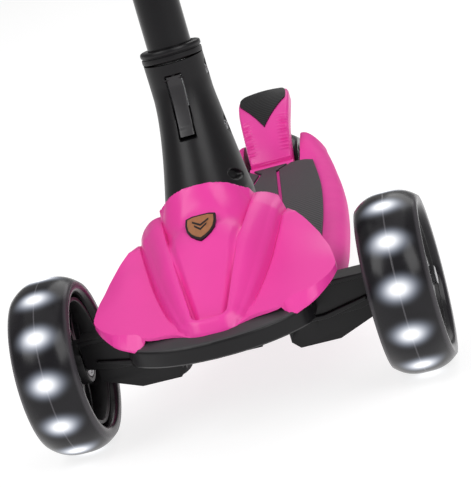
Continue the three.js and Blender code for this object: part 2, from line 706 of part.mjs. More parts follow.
function tabRecess() {
  const { half, top, bottom } = TAB;
  const side = [
    [tabFace(top) - 6, top + 2.6], [tabFace(top) + 2.4, top + 2.6], [tabFace(bottom) + 7.4, bottom - 2.4],
    [tabFace(bottom) - 12, bottom - 2.4],
  ];
  return prism("yz", side, -half - 0.6, half + 0.6);
}

function releaseTab() {
  const { half, top, bottom, thickness } = TAB;
  const side = [
    [tabFace(top), top + 1], [tabFace(top) + thickness, top + 1], [tabFace(bottom) + thickness + 1, bottom],
    [tabFace(bottom) - 1, bottom], [tabFace(bottom) - 1, bottom + 5], [tabFace(bottom + 7), bottom + 7],
  ];
  return cut(prism("yz", side, -half, half), tabPinRod(0.75 + 0.15, half + 3));
}

function tabPinRod(radius, reach) {
  return rod("x", radius, -reach, reach, [0, tabFace(TAB.top) + TAB.thickness / 2, TAB.top], 10);
}

// Everything on the T-bar is laid out along the tube, from the mouth of the socket.
const stem = new THREE.Group();
stem.position.set(0, NECK_AXIS_Y, NECK_TOP);
stem.rotation.x = -STEM_TILT;
scooter.add(stem);

// Moves a solid laid out along the tube into the scooter's own frame.
function alongTube(solid) {
  const geometry = geometryOf(solid);
  geometry.rotateX(-STEM_TILT);
  geometry.translate(0, NECK_AXIS_Y, NECK_TOP);
  return solidOf(geometry);
}

const SCREW_HEIGHTS = { upper: 217, lower: 177 };
const SCREW_HEAD = { radius: 3.6, height: 2 };
const SCREW_SHANK = 1.8;

function screwPocket(height, clearance) {
  const y = NECK_AXIS_Y - (NECK_TOP - height) * Math.tan(STEM_TILT);
  const wall = neckSection(height).half - SCREW_HEAD.height - GAP;
  const centre = [0, y, height];
  return {
    shank: rod("x", SCREW_SHANK + clearance, SOCKET_BORE + GAP - clearance, wall + 1, centre, 12),
    head: rod("x", SCREW_HEAD.radius + clearance, wall - clearance, wall + (clearance ? 9 : SCREW_HEAD.height), centre, 12),
  };
}

function neckBody() {
  const bore = alongTube(rod("z", SOCKET_BORE, -SOCKET_DEPTH - GAP, 40, [0, 0, 0], 22));
  let body = cut(neckForm(0), bore, tabRecess(), tabPinRod(0.75 + 0.15, TAB.half + 2.2));
  for (const height of Object.values(SCREW_HEIGHTS)) {
    const { shank, head } = screwPocket(height, GAP);
    body = cut(body, shank, head, mirror(shank), mirror(head));
  }
  return body;
}

function placeNeck() {
  const body = neckBody();
  const ahead = block(-60, 60, -60, NECK_SPLIT - GAP / 2, 0, 300);
  const behind = block(-60, 60, NECK_SPLIT + GAP / 2, 140, 0, 300);
  place("neck_front", body.intersect(ahead), BLACK_NYLON);
  place("neck_rear", body.intersect(behind), BLACK_NYLON);
  const sleeve = TUBE_RADIUS + GAP;
  place("socket_sleeve", ring("z", sleeve + SLEEVE_WALL, sleeve, -SOCKET_DEPTH, -1, [0, 0, 0], 22), STEEL, stem);
  const step = COLLAR_HEIGHT * 0.55;
  const collarProfile = [
    [sleeve, GAP], [COLLAR_RADIUS - 1, GAP], [COLLAR_RADIUS - 1, step], [COLLAR_RADIUS, step + 0.4],
    [COLLAR_RADIUS, COLLAR_HEIGHT - 0.8], [COLLAR_RADIUS - 0.8, COLLAR_HEIGHT], [sleeve, COLLAR_HEIGHT],
  ];
  const collar = alongTube(turned("z", collarProfile, 24));
  const neckTop = block(-40, 40, 0, 140, 0, NECK_TOP + GAP);
  place("neck_collar", cut(collar, neckTop), BLACK_NYLON);
  for (const [level, height] of Object.entries(SCREW_HEIGHTS)) {
    const { shank, head } = screwPocket(height, 0);
    placePair(`neck_screw_${level}`, joined(shank, head), STEEL);
  }
  place("release_tab", releaseTab(), DARK_GREY);
  place("tab_pin", tabPinRod(0.75, TAB.half + 2), STEEL);
}

// ---- T-bar ----
const LOWER_TOP = LOWER_TUBE_LENGTH - SOCKET_DEPTH + 1;
const CLAMP = { height: 28, wall: 4, slit: 2, ear: 12, lug: 5 };
const BAR_AT = LOWER_TOP - UPPER_TUBE_OVERLAP + UPPER_TUBE_LENGTH;

function clampCollar() {
  const inner = TUBE_RADIUS + GAP;
  const outer = inner + CLAMP.wall;
  const bottom = LOWER_TOP - CLAMP.height + 6;
  const top = LOWER_TOP + 6;
  const lugs = CLAMP.slit / 2 + CLAMP.lug;
  const body = joined(
    ring("z", outer, inner, bottom, top, [0, 0, 0], 22),
    block(-lugs, lugs, inner + 2, outer + CLAMP.ear, bottom + 3, top - 3),
  );
  const lip = ring("z", inner + 1, UPPER_TUBE_RADIUS + GAP, LOWER_TOP + GAP, top, [0, 0, 0], 22);
  const boltY = outer + CLAMP.ear / 2 + 1;
  const boltZ = (bottom + top) / 2;
  return cut(
    joined(body, lip),
    block(-CLAMP.slit / 2, CLAMP.slit / 2, inner - 6, outer + CLAMP.ear + 1, bottom - 1, top + 1),
    rod("x", 2.5 + GAP, -20, 20, [0, boltY, boltZ], 14),
  );
}

const CLAMP_BOLT_Y = TUBE_RADIUS + GAP + CLAMP.wall + CLAMP.ear / 2 + 1;
const CLAMP_BOLT_Z = LOWER_TOP + 6 - CLAMP.height / 2;
const CLAMP_SIDE = CLAMP.slit / 2 + CLAMP.lug;
const LEVER_PIVOT_X = CLAMP_SIDE + 6;

function clampBolt() {
  const centre = [0, CLAMP_BOLT_Y, CLAMP_BOLT_Z];
  const pivot = [LEVER_PIVOT_X, CLAMP_BOLT_Y, 0];
  return joined(
    rod("x", 2.5, -CLAMP_SIDE - 3, LEVER_PIVOT_X, centre, 14),
    rod("x", 5, -CLAMP_SIDE - GAP - 4, -CLAMP_SIDE - GAP, centre, 6),
    rod("z", 2.5, CLAMP_BOLT_Z - 7, CLAMP_BOLT_Z + 7, pivot, 14),
  );
}

// The clamp's cam lever lies along the tube's left side and swings out to the rear.
function clampLever() {
  const pivot = [LEVER_PIVOT_X, CLAMP_BOLT_Y, 0];
  const nearSide = CLAMP_SIDE + GAP + 0.4;
  const outline = [
    [LEVER_PIVOT_X + 6, CLAMP_BOLT_Y], [LEVER_PIVOT_X + 9, CLAMP_BOLT_Y - 12], [TUBE_RADIUS + 9, 0],
    [TUBE_RADIUS + 7, -20], [TUBE_RADIUS + 3.5, -21], [TUBE_RADIUS + 5.4, 0], [LEVER_PIVOT_X + 5, CLAMP_BOLT_Y - 8],
    [nearSide + 2, CLAMP_BOLT_Y - 4],
  ];
  const low = CLAMP_BOLT_Z - 9;
  const high = CLAMP_BOLT_Z + 9;
  const body = joined(
    prism("xy", outline.reverse(), low, high),
    rod("z", LEVER_PIVOT_X - nearSide, low, high, pivot, 20),
  );
  return cut(
    body,
    rod("z", 2.5 + GAP, low - 1, high + 1, pivot, 14),
    block(0, LEVER_PIVOT_X + 3, CLAMP_BOLT_Y - 3.2, CLAMP_BOLT_Y + 3.2, CLAMP_BOLT_Z - 3.2, CLAMP_BOLT_Z + 3.2),
    block(0, LEVER_PIVOT_X + 3, CLAMP_BOLT_Y - 0.5, CLAMP_BOLT_Y + 12, CLAMP_BOLT_Z - 3.2, CLAMP_BOLT_Z + 3.2),
  );
}

function placeTBar() {
  const tube = ring("z", TUBE_RADIUS, TUBE_RADIUS - TUBE_WALL, -SOCKET_DEPTH + 1, LOWER_TOP, [0, 0, 0], 22);
  place("lower_tube", tube, ANODISED, stem);
  place("height_clamp", clampCollar(), BLACK_NYLON, stem);
  place("clamp_bolt", clampBolt(), STEEL, stem);
  place("clamp_lever", clampLever(), BLACK_NYLON, stem);
  const bottom = LOWER_TOP - UPPER_TUBE_OVERLAP;
  const upper = ring("z", UPPER_TUBE_RADIUS, UPPER_TUBE_RADIUS - TUBE_WALL, bottom, BAR_AT - 16, [0, 0, 0], 22);
  place("upper_tube", upper, ANODISED, stem);
  place("crossbar", crossbar(), ANODISED, stem);
  place("handlebar_tee", tee(), BLACK_NYLON, stem);
  for (const [name, side] of [["left", 1], ["right", -1]]) place(`grip_${name}`, grip(side), RUBBER, stem);
}

function crossbar() {
  const centre = [0, 0, BAR_AT];
  return ring("x", CROSSBAR_RADIUS, CROSSBAR_RADIUS - TUBE_WALL, -CROSSBAR_LENGTH / 2, CROSSBAR_LENGTH / 2, centre, 24);
}

// The moulded tee that joins the crossbar to the upper tube.
function tee() {
  const centre = [0, 0, BAR_AT];
  const wall = 4;
  const reach = 34;
  return cut(
    joined(
      rod("x", CROSSBAR_RADIUS + wall, -reach, reach, centre, 24),
      rod("z", UPPER_TUBE_RADIUS + wall, BAR_AT - 42, BAR_AT, [0, 0, 0], 24),
    ),
    rod("x", CROSSBAR_RADIUS + GAP, -reach - 1, reach + 1, centre, 24),
    rod("z", UPPER_TUBE_RADIUS + GAP, BAR_AT - 43, BAR_AT - 16 + GAP, [0, 0, 0], 24),
  );
}

function grip(side) {
  const end = CROSSBAR_LENGTH / 2 + 3;
  const start = end - GRIP_LENGTH;
  const bore = CROSSBAR_RADIUS + GAP;
  const stop = CROSSBAR_LENGTH / 2 + GAP;
  const profile = [
    [0, end], [GRIP_RADIUS - 2, end], [GRIP_RADIUS + 1, end - 3], [GRIP_RADIUS, end - 8], [GRIP_RADIUS - 1, start + 8],
    [GRIP_RADIUS + 4, start + 4], [GRIP_RADIUS + 4, start], [bore, start], [bore, stop], [0, stop],
  ];
  return turned("x", profile.map(([radius, along]) => [radius, side * along]), 24, [0, 0, BAR_AT]);
}

// ---- Brake fender ----
// The fender's middle line seen from the side, from its hinge up and over the wheel.
const FENDER_LINE = [
  [352, 79], [361, 92], [373, 105], [391, 116.5], [410, 123], [428, 122.5], [440, 115],
];

function offsetLine(points, distance) {
  return points.map(([y, z], i) => {
    const [y0, z0] = points[Math.max(0, i - 1)];
    const [y1, z1] = points[Math.min(points.length - 1, i + 1)];
    const length = Math.hypot(y1 - y0, z1 - z0);
    return [y - ((z1 - z0) / length) * distance, z + ((y1 - y0) / length) * distance];
  });
}

function fenderBand(inner, outer) {
  return [...offsetLine(FENDER_LINE, inner), ...offsetLine(FENDER_LINE, outer).reverse()];
}

// Seen from above the fender rounds off towards its rear tip.
function fenderPlan(inset) {
  const half = FENDER_HALF_WIDTH - inset;
  const rear = FENDER_LINE.at(-1)[0] + 3 - inset;
  const points = [[half - 3.5, 330], [half - 3.5, 358], [half - 1.5, 382], [half, 402], [half, 415], [half - 3, 428], [half - 10, rear - 3], [0, rear]];
  return prism("xy", mirrored(points), 40, 160);
}

function brakeFender() {
  const skirt = 11;
  const outside = prism("yz", fenderBand(-skirt, 0), -30, 30).intersect(fenderPlan(0));
  const inside = prism("yz", fenderBand(-skirt - 30, -FENDER_WALL), -30, 30).intersect(fenderPlan(FENDER_WALL));
  const { y, z } = FENDER_HINGE;
  const knuckle = rod("x", 5.5, -FENDER_HALF_WIDTH + 2, FENDER_HALF_WIDTH - 2, [0, y, z], 20);
  const web = prism("yz", [[y - 5, z], [y - 1, 84], [y + 9, 88], [y + 5, z]], -FENDER_HALF_WIDTH + 2, FENDER_HALF_WIDTH - 2);
  const tyreRoom = rod("x", REAR_WHEEL_RADIUS + 5, -30, 30, REAR_AXLE, 28);
  const springRoom = block(-8, 8, y - 12, y + 7, z - 8, z + 8);
  return cut(joined(outside.subtract(inside), web, knuckle), tyreRoom, rod("x", 2.5 + GAP, -30, 30, [0, y, z], 14), springRoom);
}

// The dark tread pad on the fender, pointed at the front.
function fenderPad() {
  const plan = mirrored([[0, 371], [FENDER_HALF_WIDTH - 4, 400], [FENDER_HALF_WIDTH - 4, 414], [12, 432], [0, 436]]);
  return prism("yz", fenderBand(GAP, GAP + 1.4), -30, 30).intersect(prism("xy", plan, 40, 160));
}

function brakeShoe() {
  const body = block(-15, 15, 394, 414, 80, 130);
  const underFender = prism("yz", fenderBand(-60, -FENDER_WALL - GAP), -30, 30);
  return cut(body.intersect(underFender), rod("x", REAR_WHEEL_RADIUS + BRAKE_GAP, -30, 30, REAR_AXLE, 40));
}

// A torsion spring of round wire coiled on the hinge pin.
function fenderSpring() {
  const turns = 3;
  const wire = 0.9;
  const coil = 4.4;
  const points = [];
  for (let i = 0; i <= turns * 10; i++) {
    const angle = (i * 2 * Math.PI) / 10;
    const { y, z } = FENDER_HINGE;
    points.push(new THREE.Vector3(-3.6 + (7.2 * i) / (turns * 10), y + coil * Math.cos(angle), z + coil * Math.sin(angle)));
  }
  const section = new THREE.Shape().absarc(0, 0, wire, 0, 2 * Math.PI);
  const path = new THREE.CatmullRomCurve3(points);
  return solidOf(new THREE.ExtrudeGeometry(section, { extrudePath: path, steps: turns * 12, curveSegments: 2, bevelEnabled: false }));
}

function placeBrake() {
  place("brake_fender", brakeFender(), PINK);
  place("fender_pad", fenderPad(), BLACK_NYLON);
  place("brake_shoe", brakeShoe(), STEEL);
  const { y, z } = FENDER_HINGE;
  place("fender_pin", rod("x", 2.5, -NOTCH_HALF - 8, NOTCH_HALF + 8, [0, y, z], 14), STEEL);
  place("fender_spring", fenderSpring(), STEEL);
}

placeFrontWheels();
placeRearWheel();
placeSteering();
placeDeck();
placeFront();
placeNeck();
placeTBar();
placeBrake();

// The part's origin is on the ground under the middle of its box.
scooter.updateMatrixWorld(true);
const box = new THREE.Box3().setFromObject(scooter, true);
scooter.position.set(0, -(box.min.y + box.max.y) / 2, -box.min.z);

export default scooter;
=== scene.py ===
"""A child's lean-to-steer kick scooter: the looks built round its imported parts.

Blender's places are in metres in the part's own frame: +Z up, -Y ahead, +X the rider's left.
Shapes are laid out in millimetres from the ground under the front axle, and at() moves them there.
"""

import json
import math

import bmesh
import bpy
from mathutils import Matrix, Vector


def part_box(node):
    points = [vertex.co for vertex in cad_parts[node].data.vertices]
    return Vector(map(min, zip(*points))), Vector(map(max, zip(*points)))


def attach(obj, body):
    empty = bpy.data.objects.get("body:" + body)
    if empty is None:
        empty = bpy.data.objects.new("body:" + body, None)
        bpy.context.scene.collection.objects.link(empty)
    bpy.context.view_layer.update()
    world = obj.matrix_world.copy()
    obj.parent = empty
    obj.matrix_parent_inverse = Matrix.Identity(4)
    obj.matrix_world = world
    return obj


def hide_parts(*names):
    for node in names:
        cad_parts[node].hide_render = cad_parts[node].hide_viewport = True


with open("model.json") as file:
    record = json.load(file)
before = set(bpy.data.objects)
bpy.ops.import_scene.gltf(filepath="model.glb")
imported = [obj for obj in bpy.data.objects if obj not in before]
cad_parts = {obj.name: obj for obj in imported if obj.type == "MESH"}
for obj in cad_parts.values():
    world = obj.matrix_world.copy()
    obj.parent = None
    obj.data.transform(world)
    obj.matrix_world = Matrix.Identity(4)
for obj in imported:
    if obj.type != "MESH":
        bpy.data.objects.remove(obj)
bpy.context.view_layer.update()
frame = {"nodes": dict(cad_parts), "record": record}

MM = 0.001


def middle(node):
    low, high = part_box(node)
    return (low + high) / 2


AXLE_Y = middle("front_tyre_left").y


def at(x, y, z):
    """A place given in millimetres from the ground under the front axle."""
    return Vector((x * MM, y * MM + AXLE_Y, z * MM))


# ---- Shader expressions ----
class Link:
    """A material socket with arithmetic on it."""

    def __init__(self, paint, socket):
        self.paint = paint
        self.socket = socket

    def math(self, operation, first, second=0.0):
        return self.paint.node("ShaderNodeMath", {"operation": operation}, {0: first, 1: second})

    def __add__(self, other):
        return self.math("ADD", self, other)

    __radd__ = __add__

    def __sub__(self, other):
        return self.math("SUBTRACT", self, other)

    def __rsub__(self, other):
        return self.math("SUBTRACT", other, self)

    def __mul__(self, other):
        return self.math("MULTIPLY", self, other)

    __rmul__ = __mul__

    def __truediv__(self, other):
        return self.math("DIVIDE", self, other)

    def __pow__(self, other):
        return self.math("POWER", self, other)

    def step(self, low, high):
        """0 below low, 1 above high, smooth between."""
        return self.paint.node(
            "ShaderNodeMapRange",
            {"interpolation_type": "SMOOTHSTEP", "clamp": True},
            {"Value": self, "From Min": low, "From Max": high, "To Min": 0.0, "To Max": 1.0},
        )


class Paint:
    """One material, built round its Principled shader."""

    def __init__(self, name, roughness=0.4, metallic=0.0, ior=1.5):
        self.material = bpy.data.materials.new(name)
        self.material.use_nodes = True
        self.tree = self.material.node_tree
        self.shader = self.tree.nodes["Principled BSDF"]
        self.shader.inputs["Roughness"].default_value = roughness
        self.shader.inputs["Metallic"].default_value = metallic
        self.shader.inputs["IOR"].default_value = ior

    def feed(self, socket, value):
        if isinstance(value, Link):
            self.tree.links.new(value.socket, socket)
        else:
            socket.default_value = value

    def node(self, kind, settings=None, inputs=None, output=0):
        made = self.tree.nodes.new(kind)
        for key, value in (settings or {}).items():
            if key == "stops":
                self.set_stops(made.color_ramp, value)
            else:
                setattr(made, key, value)
        for key, value in (inputs or {}).items():
            self.feed(made.inputs[key], value)
        return Link(self, made.outputs[output])

    def set_stops(self, ramp, stops):
        while len(ramp.elements) < len(stops):
            ramp.elements.new(0.5)
        for element, (place, colour) in zip(ramp.elements, stops):
            element.position = place
            element.color = (*colour, 1.0)

    def place(self, centre=(0.0, 0.0, 0.0)):
        """Object coordinates in metres, measured from a centre."""
        here = self.node("ShaderNodeTexCoord", output=3)
        return self.node("ShaderNodeVectorMath", {"operation": "SUBTRACT"}, {0: here, 1: centre})

    def parts(self, vector):
        return [self.node("ShaderNodeSeparateXYZ", None, {0: vector}, output=i) for i in range(3)]

    def noise(self, scale, detail=3.0, stretch=(1.0, 1.0, 1.0)):
        stretched = {0: self.place(), 1: stretch}
        where = self.node("ShaderNodeVectorMath", {"operation": "MULTIPLY"}, stretched)
        return self.node("ShaderNodeTexNoise", None, {"Vector": where, "Scale": scale, "Detail": detail})

    def mix(self, share, first, second):
        return self.node(
            "ShaderNodeMix",
            {"data_type": "RGBA"},
            {0: share, 6: self.colour(first), 7: self.colour(second)},
            output=2,
        )

    def colour(self, value):
        return value if isinstance(value, Link) else (*value, 1.0)

    def base(self, value):
        self.feed(self.shader.inputs["Base Color"], self.colour(value))

    def rough(self, value):
        self.feed(self.shader.inputs["Roughness"], value)

    def bump(self, height, distance, strength):
        values = {"Height": height, "Distance": distance, "Strength": strength}
        raised = self.node("ShaderNodeBump", None, values)
        self.feed(self.shader.inputs["Normal"], raised)


def moulded(name, colour, roughness, variation=0.08, grain=900.0, grain_depth=0.00003, **finish):
    """Moulded plastic: a slightly uneven colour, an uneven gloss and a fine skin texture."""
    paint = Paint(name, roughness, **finish)
    cloud = paint.noise(35.0, 2.0)
    lighter = tuple(min(1.0, c * (1 + variation)) for c in colour)
    darker = tuple(c * (1 - variation) for c in colour)
    paint.base(paint.mix(cloud, darker, lighter))
    paint.rough(roughness - 0.05 + paint.noise(120.0) * 0.1)
    paint.bump(paint.noise(grain, 2.0), grain_depth, 0.35)
    return paint.material


def brushed_metal(name, colour, roughness):
    paint = Paint(name, roughness, metallic=1.0)
    streak = paint.noise(700.0, 2.0, (1.0, 0.15, 1.0))
    paint.base(paint.mix(streak, tuple(c * 0.88 for c in colour), colour))
    paint.rough(roughness - 0.06 + streak * 0.14)
    paint.bump(streak, 0.00002, 0.25)
    return paint.material


HOT_PINK = (0.79, 0.045, 0.34)
NYLON_BLACK = (0.0055, 0.005, 0.006)
TUBE_BLACK = (0.005, 0.0045, 0.0055)
PINK = moulded("hot_pink_shell", HOT_PINK, 0.32, 0.05, ior=1.42)
DECK_PINK = moulded("hot_pink_deck", HOT_PINK, 0.5, 0.05, ior=1.2)
BLACK = moulded("black_nylon_skin", NYLON_BLACK, 0.38, 0.2, grain=1400.0, grain_depth=0.00004, ior=1.36)
GLOSS_BLACK = moulded("black_anodised_tube", TUBE_BLACK, 0.24, 0.1, ior=1.38)
LEDGE_GREY = moulded("bumper_ledge_grey", (0.03, 0.028, 0.031), 0.5, 0.15)
TAB_GREY = moulded("release_tab_grey", (0.02, 0.019, 0.021), 0.38, 0.12)
RUBBER = moulded("black_rubber_grip", (0.016, 0.016, 0.017), 0.75, 0.2)
STEEL = brushed_metal("zinc_plated_steel", (0.62, 0.63, 0.64), 0.32)
BLACK_STEEL = brushed_metal("blackened_screw", (0.2, 0.2, 0.21), 0.25)


GLOW_ALONG = 0.0082
GLOW_ACROSS = 0.0118


def smoky_tyre(name, centre, radius, lights, phase):
    """Smoky cast polyurethane; with lights, a ring of white spots glows through it."""
    paint = Paint(name, 0.2, ior=1.34)
    x, y, z = paint.parts(paint.place(centre))
    out = (y * y + z * z) ** 0.5
    side = paint.node("ShaderNodeMath", {"operation": "ABSOLUTE"}, {0: x})
    wall = side.step(0.0175, 0.0195) * out.step(radius - 0.017, radius - 0.006)
    smoke = paint.mix(paint.noise(60.0), (0.006, 0.0055, 0.007), (0.013, 0.012, 0.0145))
    tread = paint.mix(wall, smoke, (0.05, 0.046, 0.052))
    seam = 1.0 - side.step(0.0002, 0.0007)
    paint.base(paint.mix(seam * 0.3, tread, (0.22, 0.21, 0.23)))
    paint.rough(0.2 + paint.noise(90.0) * 0.08)
    paint.bump(seam, 0.0002, 0.4)
    if lights:
        turn = paint.node("ShaderNodeMath", {"operation": "ARCTAN2"}, {0: z, 1: y})
        sector = math.tau / lights
        folded = {0: turn + phase, 1: sector / 2}
        wave = paint.node("ShaderNodeMath", {"operation": "PINGPONG"}, folded)
        along = wave * radius / GLOW_ALONG
        across = side / GLOW_ACROSS
        away = (along * along + across * across) ** 0.5
        fade = 1.0 - away.step(0.0, 1.75)
        glow = fade * fade * out.step(radius - 0.014, radius - 0.005)
        core = 1.0 - away.step(0.0, 1.15)
        tint = paint.mix(core, (0.6, 0.66, 0.8), (1.0, 1.0, 1.0))
        halo = paint.mix(glow, (0.0, 0.0, 0.0), tint)
        paint.feed(paint.shader.inputs["Emission Color"], halo)
        paint.shader.inputs["Emission Strength"].default_value = 1.5
    return paint.material


def grip_pad_skin(name, ribbed_front):
    """Speckled grip rubber; with a ribbed front, fine slanting ribs take over towards the front."""
    paint = Paint(name, 0.6)
    speckle = paint.noise(1500.0, 4.0)
    height = speckle
    if ribbed_front:
        x, y, _ = paint.parts(paint.place())
        slant = (y * 0.5 + x) * 2400.0
        ribs = paint.node("ShaderNodeMath", {"operation": "SINE"}, {0: slant}) * 0.5 + 0.5
        share = 1.0 - y.step(0.02, 0.05)
        height = speckle * (1.0 - share) + ribs * share
    paint.base(paint.mix(height, (0.013, 0.012, 0.014), (0.04, 0.037, 0.042)))
    paint.rough(0.5 + speckle * 0.2)
    paint.bump(height, 0.0003, 0.6)
    return paint.material


PAD = grip_pad_skin("grip_pad_skin", True)
STRIP = grip_pad_skin("centre_strip_skin", False)


def badge_copper():
    paint = Paint("badge_copper", 0.4, metallic=0.35)
    streak = paint.noise(500.0, 2.0, (1.0, 0.2, 1.0))
    paint.base(paint.mix(streak, (0.3, 0.115, 0.045), (0.47, 0.2, 0.08)))
    paint.rough(0.34 + streak * 0.12)
    return paint.material


COPPER = badge_copper()


def light_ring_skin():
    paint = Paint("light_ring_clear", 0.3)
    paint.base(paint.mix(paint.noise(80.0), (0.6, 0.66, 0.75), (0.8, 0.86, 0.95)))
    paint.rough(0.25 + paint.noise(150.0) * 0.1)
    return paint.material


LIGHT_RING = light_ring_skin()


# ---- Making pieces ----
MERGE = 1e-6
SIDES = ((1, "left"), (-1, "right"))


def new_points(grown):
    """The vertices that an extrusion made."""
    return [part for part in grown["geom"] if isinstance(part, bmesh.types.BMVert)]


def new_edges(grown):
    """The edges that an extrusion made."""
    return [part for part in grown["geom"] if isinstance(part, bmesh.types.BMEdge)]


def settle(name, bm, skins, body, nodes=(), slot=None, angle=35.0):
    """Turns a bmesh into a piece that rides on a body and may stand for CAD nodes."""
    mesh = bpy.data.meshes.new(name)
    bmesh.ops.recalc_face_normals(bm, faces=bm.faces)
    bm.to_mesh(mesh)
    bm.free()
    piece = bpy.data.objects.new(name, mesh)
    bpy.context.scene.collection.objects.link(piece)
    for skin in skins if isinstance(skins, (list, tuple)) else [skins]:
        mesh.materials.append(skin)
    mesh.shade_smooth()
    mesh.set_sharp_from_angle(angle=math.radians(angle))
    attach(piece, body)
    if nodes:
        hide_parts(*nodes)
    return piece


def bevelled(piece, width, segments=2, angle=40.0):
    bevel = piece.modifiers.new("edge_round", "BEVEL")
    bevel.width = width * MM
    bevel.segments = segments
    bevel.limit_method = "ANGLE"
    bevel.angle_limit = math.radians(angle)
    bevel.harden_normals = True
    return piece


def walled(piece, thickness):
    wall = piece.modifiers.new("wall", "SOLIDIFY")
    wall.thickness = thickness * MM
    wall.offset = -1.0
    return piece


def sheet(columns, rows, where, around=False):
    """A grid laid on the shape where(u, v), with u and v from 0 to 1; closed in u if it goes around."""
    bm = bmesh.new()
    bmesh.ops.create_grid(bm, x_segments=columns, y_segments=rows, size=0.5)
    for vertex in bm.verts:
        vertex.co = where(vertex.co.x + 0.5, vertex.co.y + 0.5)
    if around:
        bmesh.ops.remove_doubles(bm, verts=bm.verts, dist=MERGE)
    return bm


def turned(profile, centre, direction, steps=96):
    """A closed outline of (radius, place along) in millimetres, spun once round an axis."""
    bm = bmesh.new()
    axis = Vector(direction).normalized()
    outward = axis.orthogonal().normalized()
    corners = [bm.verts.new(centre + (outward * radius + axis * along) * MM) for radius, along in profile]
    edges = [bm.edges.new((a, b)) for a, b in zip(corners, corners[1:] + corners[:1])]
    bmesh.ops.spin(
        bm, geom=corners + edges, cent=centre, axis=axis, angle=math.tau, steps=steps, use_merge=True
    )
    bmesh.ops.remove_doubles(bm, verts=bm.verts, dist=MERGE)
    return bm


def slab(outline, low, high, place=at):
    """An outline of (x, y) in millimetres made into a plate between two heights."""
    bm = bmesh.new()
    face = bm.faces.new([bm.verts.new(place(x, y, low)) for x, y in outline])
    grown = bmesh.ops.extrude_face_region(bm, geom=[face])
    rise = place(0, 0, high) - place(0, 0, low)
    bmesh.ops.translate(bm, verts=new_points(grown), vec=rise)
    return bm


def mirrored(half):
    return half + [(-x, y) for x, y in reversed(half) if abs(x) > 1e-6]


def ease(value, low, high):
    share = min(1.0, max(0.0, (value - low) / (high - low)))
    return share * share * (3 - 2 * share)


def ramp(value, low, high):
    return min(1.0, max(0.0, (value - low) / (high - low)))


def along_points(points, value):
    """The straight-line reading of a list of (place, value) pairs."""
    for (a, va), (b, vb) in zip(points, points[1:]):
        if value <= b:
            return va + (vb - va) * ramp(value, a, b)
    return points[-1][1]


def soft_points(points, value):
    """A smooth reading of a list of (place, value) pairs."""
    for i in range(len(points) - 1):
        a, va = points[i]
        b, vb = points[i + 1]
        if value <= b or i == len(points) - 2:
            before = points[max(0, i - 1)]
            after = points[min(len(points) - 1, i + 2)]
            share = ramp(value, a, b)
            rise_a = (vb - before[1]) / (b - before[0]) * (b - a)
            rise_b = (after[1] - va) / (after[0] - a) * (b - a)
            cube, square = share ** 3, share ** 2
            return (
                (2 * cube - 3 * square + 1) * va
                + (cube - 2 * square + share) * rise_a
                + (3 * square - 2 * cube) * vb
                + (cube - square) * rise_b
            )
    return points[-1][1]


FLAT_ANGLE = math.radians(1.5)


def refined(node, width, skin=BLACK):
    """A copy of a CAD node with its edges rounded, or left sharp where the width is 0."""
    source = frame["nodes"][node]
    bm = bmesh.new()
    bm.from_mesh(source.data)
    bmesh.ops.remove_doubles(bm, verts=bm.verts, dist=2e-6)
    bmesh.ops.dissolve_limit(
        bm, angle_limit=FLAT_ANGLE, verts=bm.verts, edges=bm.edges, use_dissolve_boundaries=False
    )
    slot = next(s["material_slot"] for s in frame["record"]["subparts"] if s["node"] == node)
    body = next(b for b, names in frame["record"]["behaviour"]["bodies"].items() if node in names)
    piece = settle(node + "_finished", bm, skin, body, [node], slot)
    return bevelled(piece, width) if width else piece


# ---- Front cowl ----
# The lists give (y, z) down the middle, (x, y) along the front and rear edges, (y, half-width) of
# the tongue and of the ridge's foot, and (y, z) of the ridge's inner edge, all in millimetres.
COWL_HALF = 81
COWL_FLOOR = 80.0
NOSE_END = -62.0
COWL_MIDDLE = [
    (-77, 82.5), (-70, 84.6), (-66, 87), (-60, 91.2), (-53, 96.4), (-46, 102.2), (-38, 109.2), (-29, 117.4),
    (-19, 125.8), (-8, 132.0), (0, 136.0), (6, 141), (11, 148), (17, 159), (30, 184),
]
COWL_FRONT = [
    (0, -75.5), (6, -75.3), (11, -74.5), (15, -73), (19, -70.6), (24, -68.4), (30, -67), (43, -64.6),
    (46.5, -62.4), (50, -58.4), (55, -56.6), (61, -54.6), (67, -51.4), (72, -47), (76, -42.5), (79, -38),
    (COWL_HALF, -33.5),
]
COWL_REAR = [
    (0, 100.5), (12, 100.5), (28, 94), (38, 77), (45, 52), (50, 34), (56, 22), (64, 12), (72, 0), (78, -15),
    (COWL_HALF, -30),
]
TONGUE_SIDE = [
    (-80, 8.6), (-67, 10.6), (-59.4, 12.4), (-39.8, 17.2), (-18.9, 22.2), (10, 28.0), (35, 32.4), (60, 36),
    (101, 40),
]
BAND_FOOT = [(-80, 14.6), (-72, 16.4), (-65, 20.6), (-47, 29), (-20, 38), (25, 48.5), (60, 54), (101, 58)]
BAND_CREST = [
    (-76, 86.2), (-66, 90.4), (-58, 94.8), (-40, 107.2), (-19, 119.6), (0, 126.5), (20, 132), (36, 134.6),
]


def tongue_half(y):
    return soft_points(TONGUE_SIDE, y)


def band_foot(y):
    return soft_points(BAND_FOOT, y)


def tongue_distance(x, y):
    """How far a place lies outside the tongue's rounded outline; below 0 is inside it."""
    corner = 6.0
    over = max(x - (tongue_half(max(y, NOSE_END)) - corner), 0)
    below = max(NOSE_END - 0.5 - y, 0)
    return math.hypot(over, below) - corner


def wing_height(x, y):
    droop = 0.0032 * max(0, x - 43) ** 2 + 0.004 * max(0, x - 43) ** 2 * ease(y, -30, 5)
    hollow = 2.4 * ease(x, 66, 30) * ramp(y, NOSE_END, -15)
    height = 112.5 + 0.44 * min(y, 20) - droop - hollow
    if y < -66:
        height = max(height, 83.6 - 0.1 * (y + 66) ** 2)
    return height


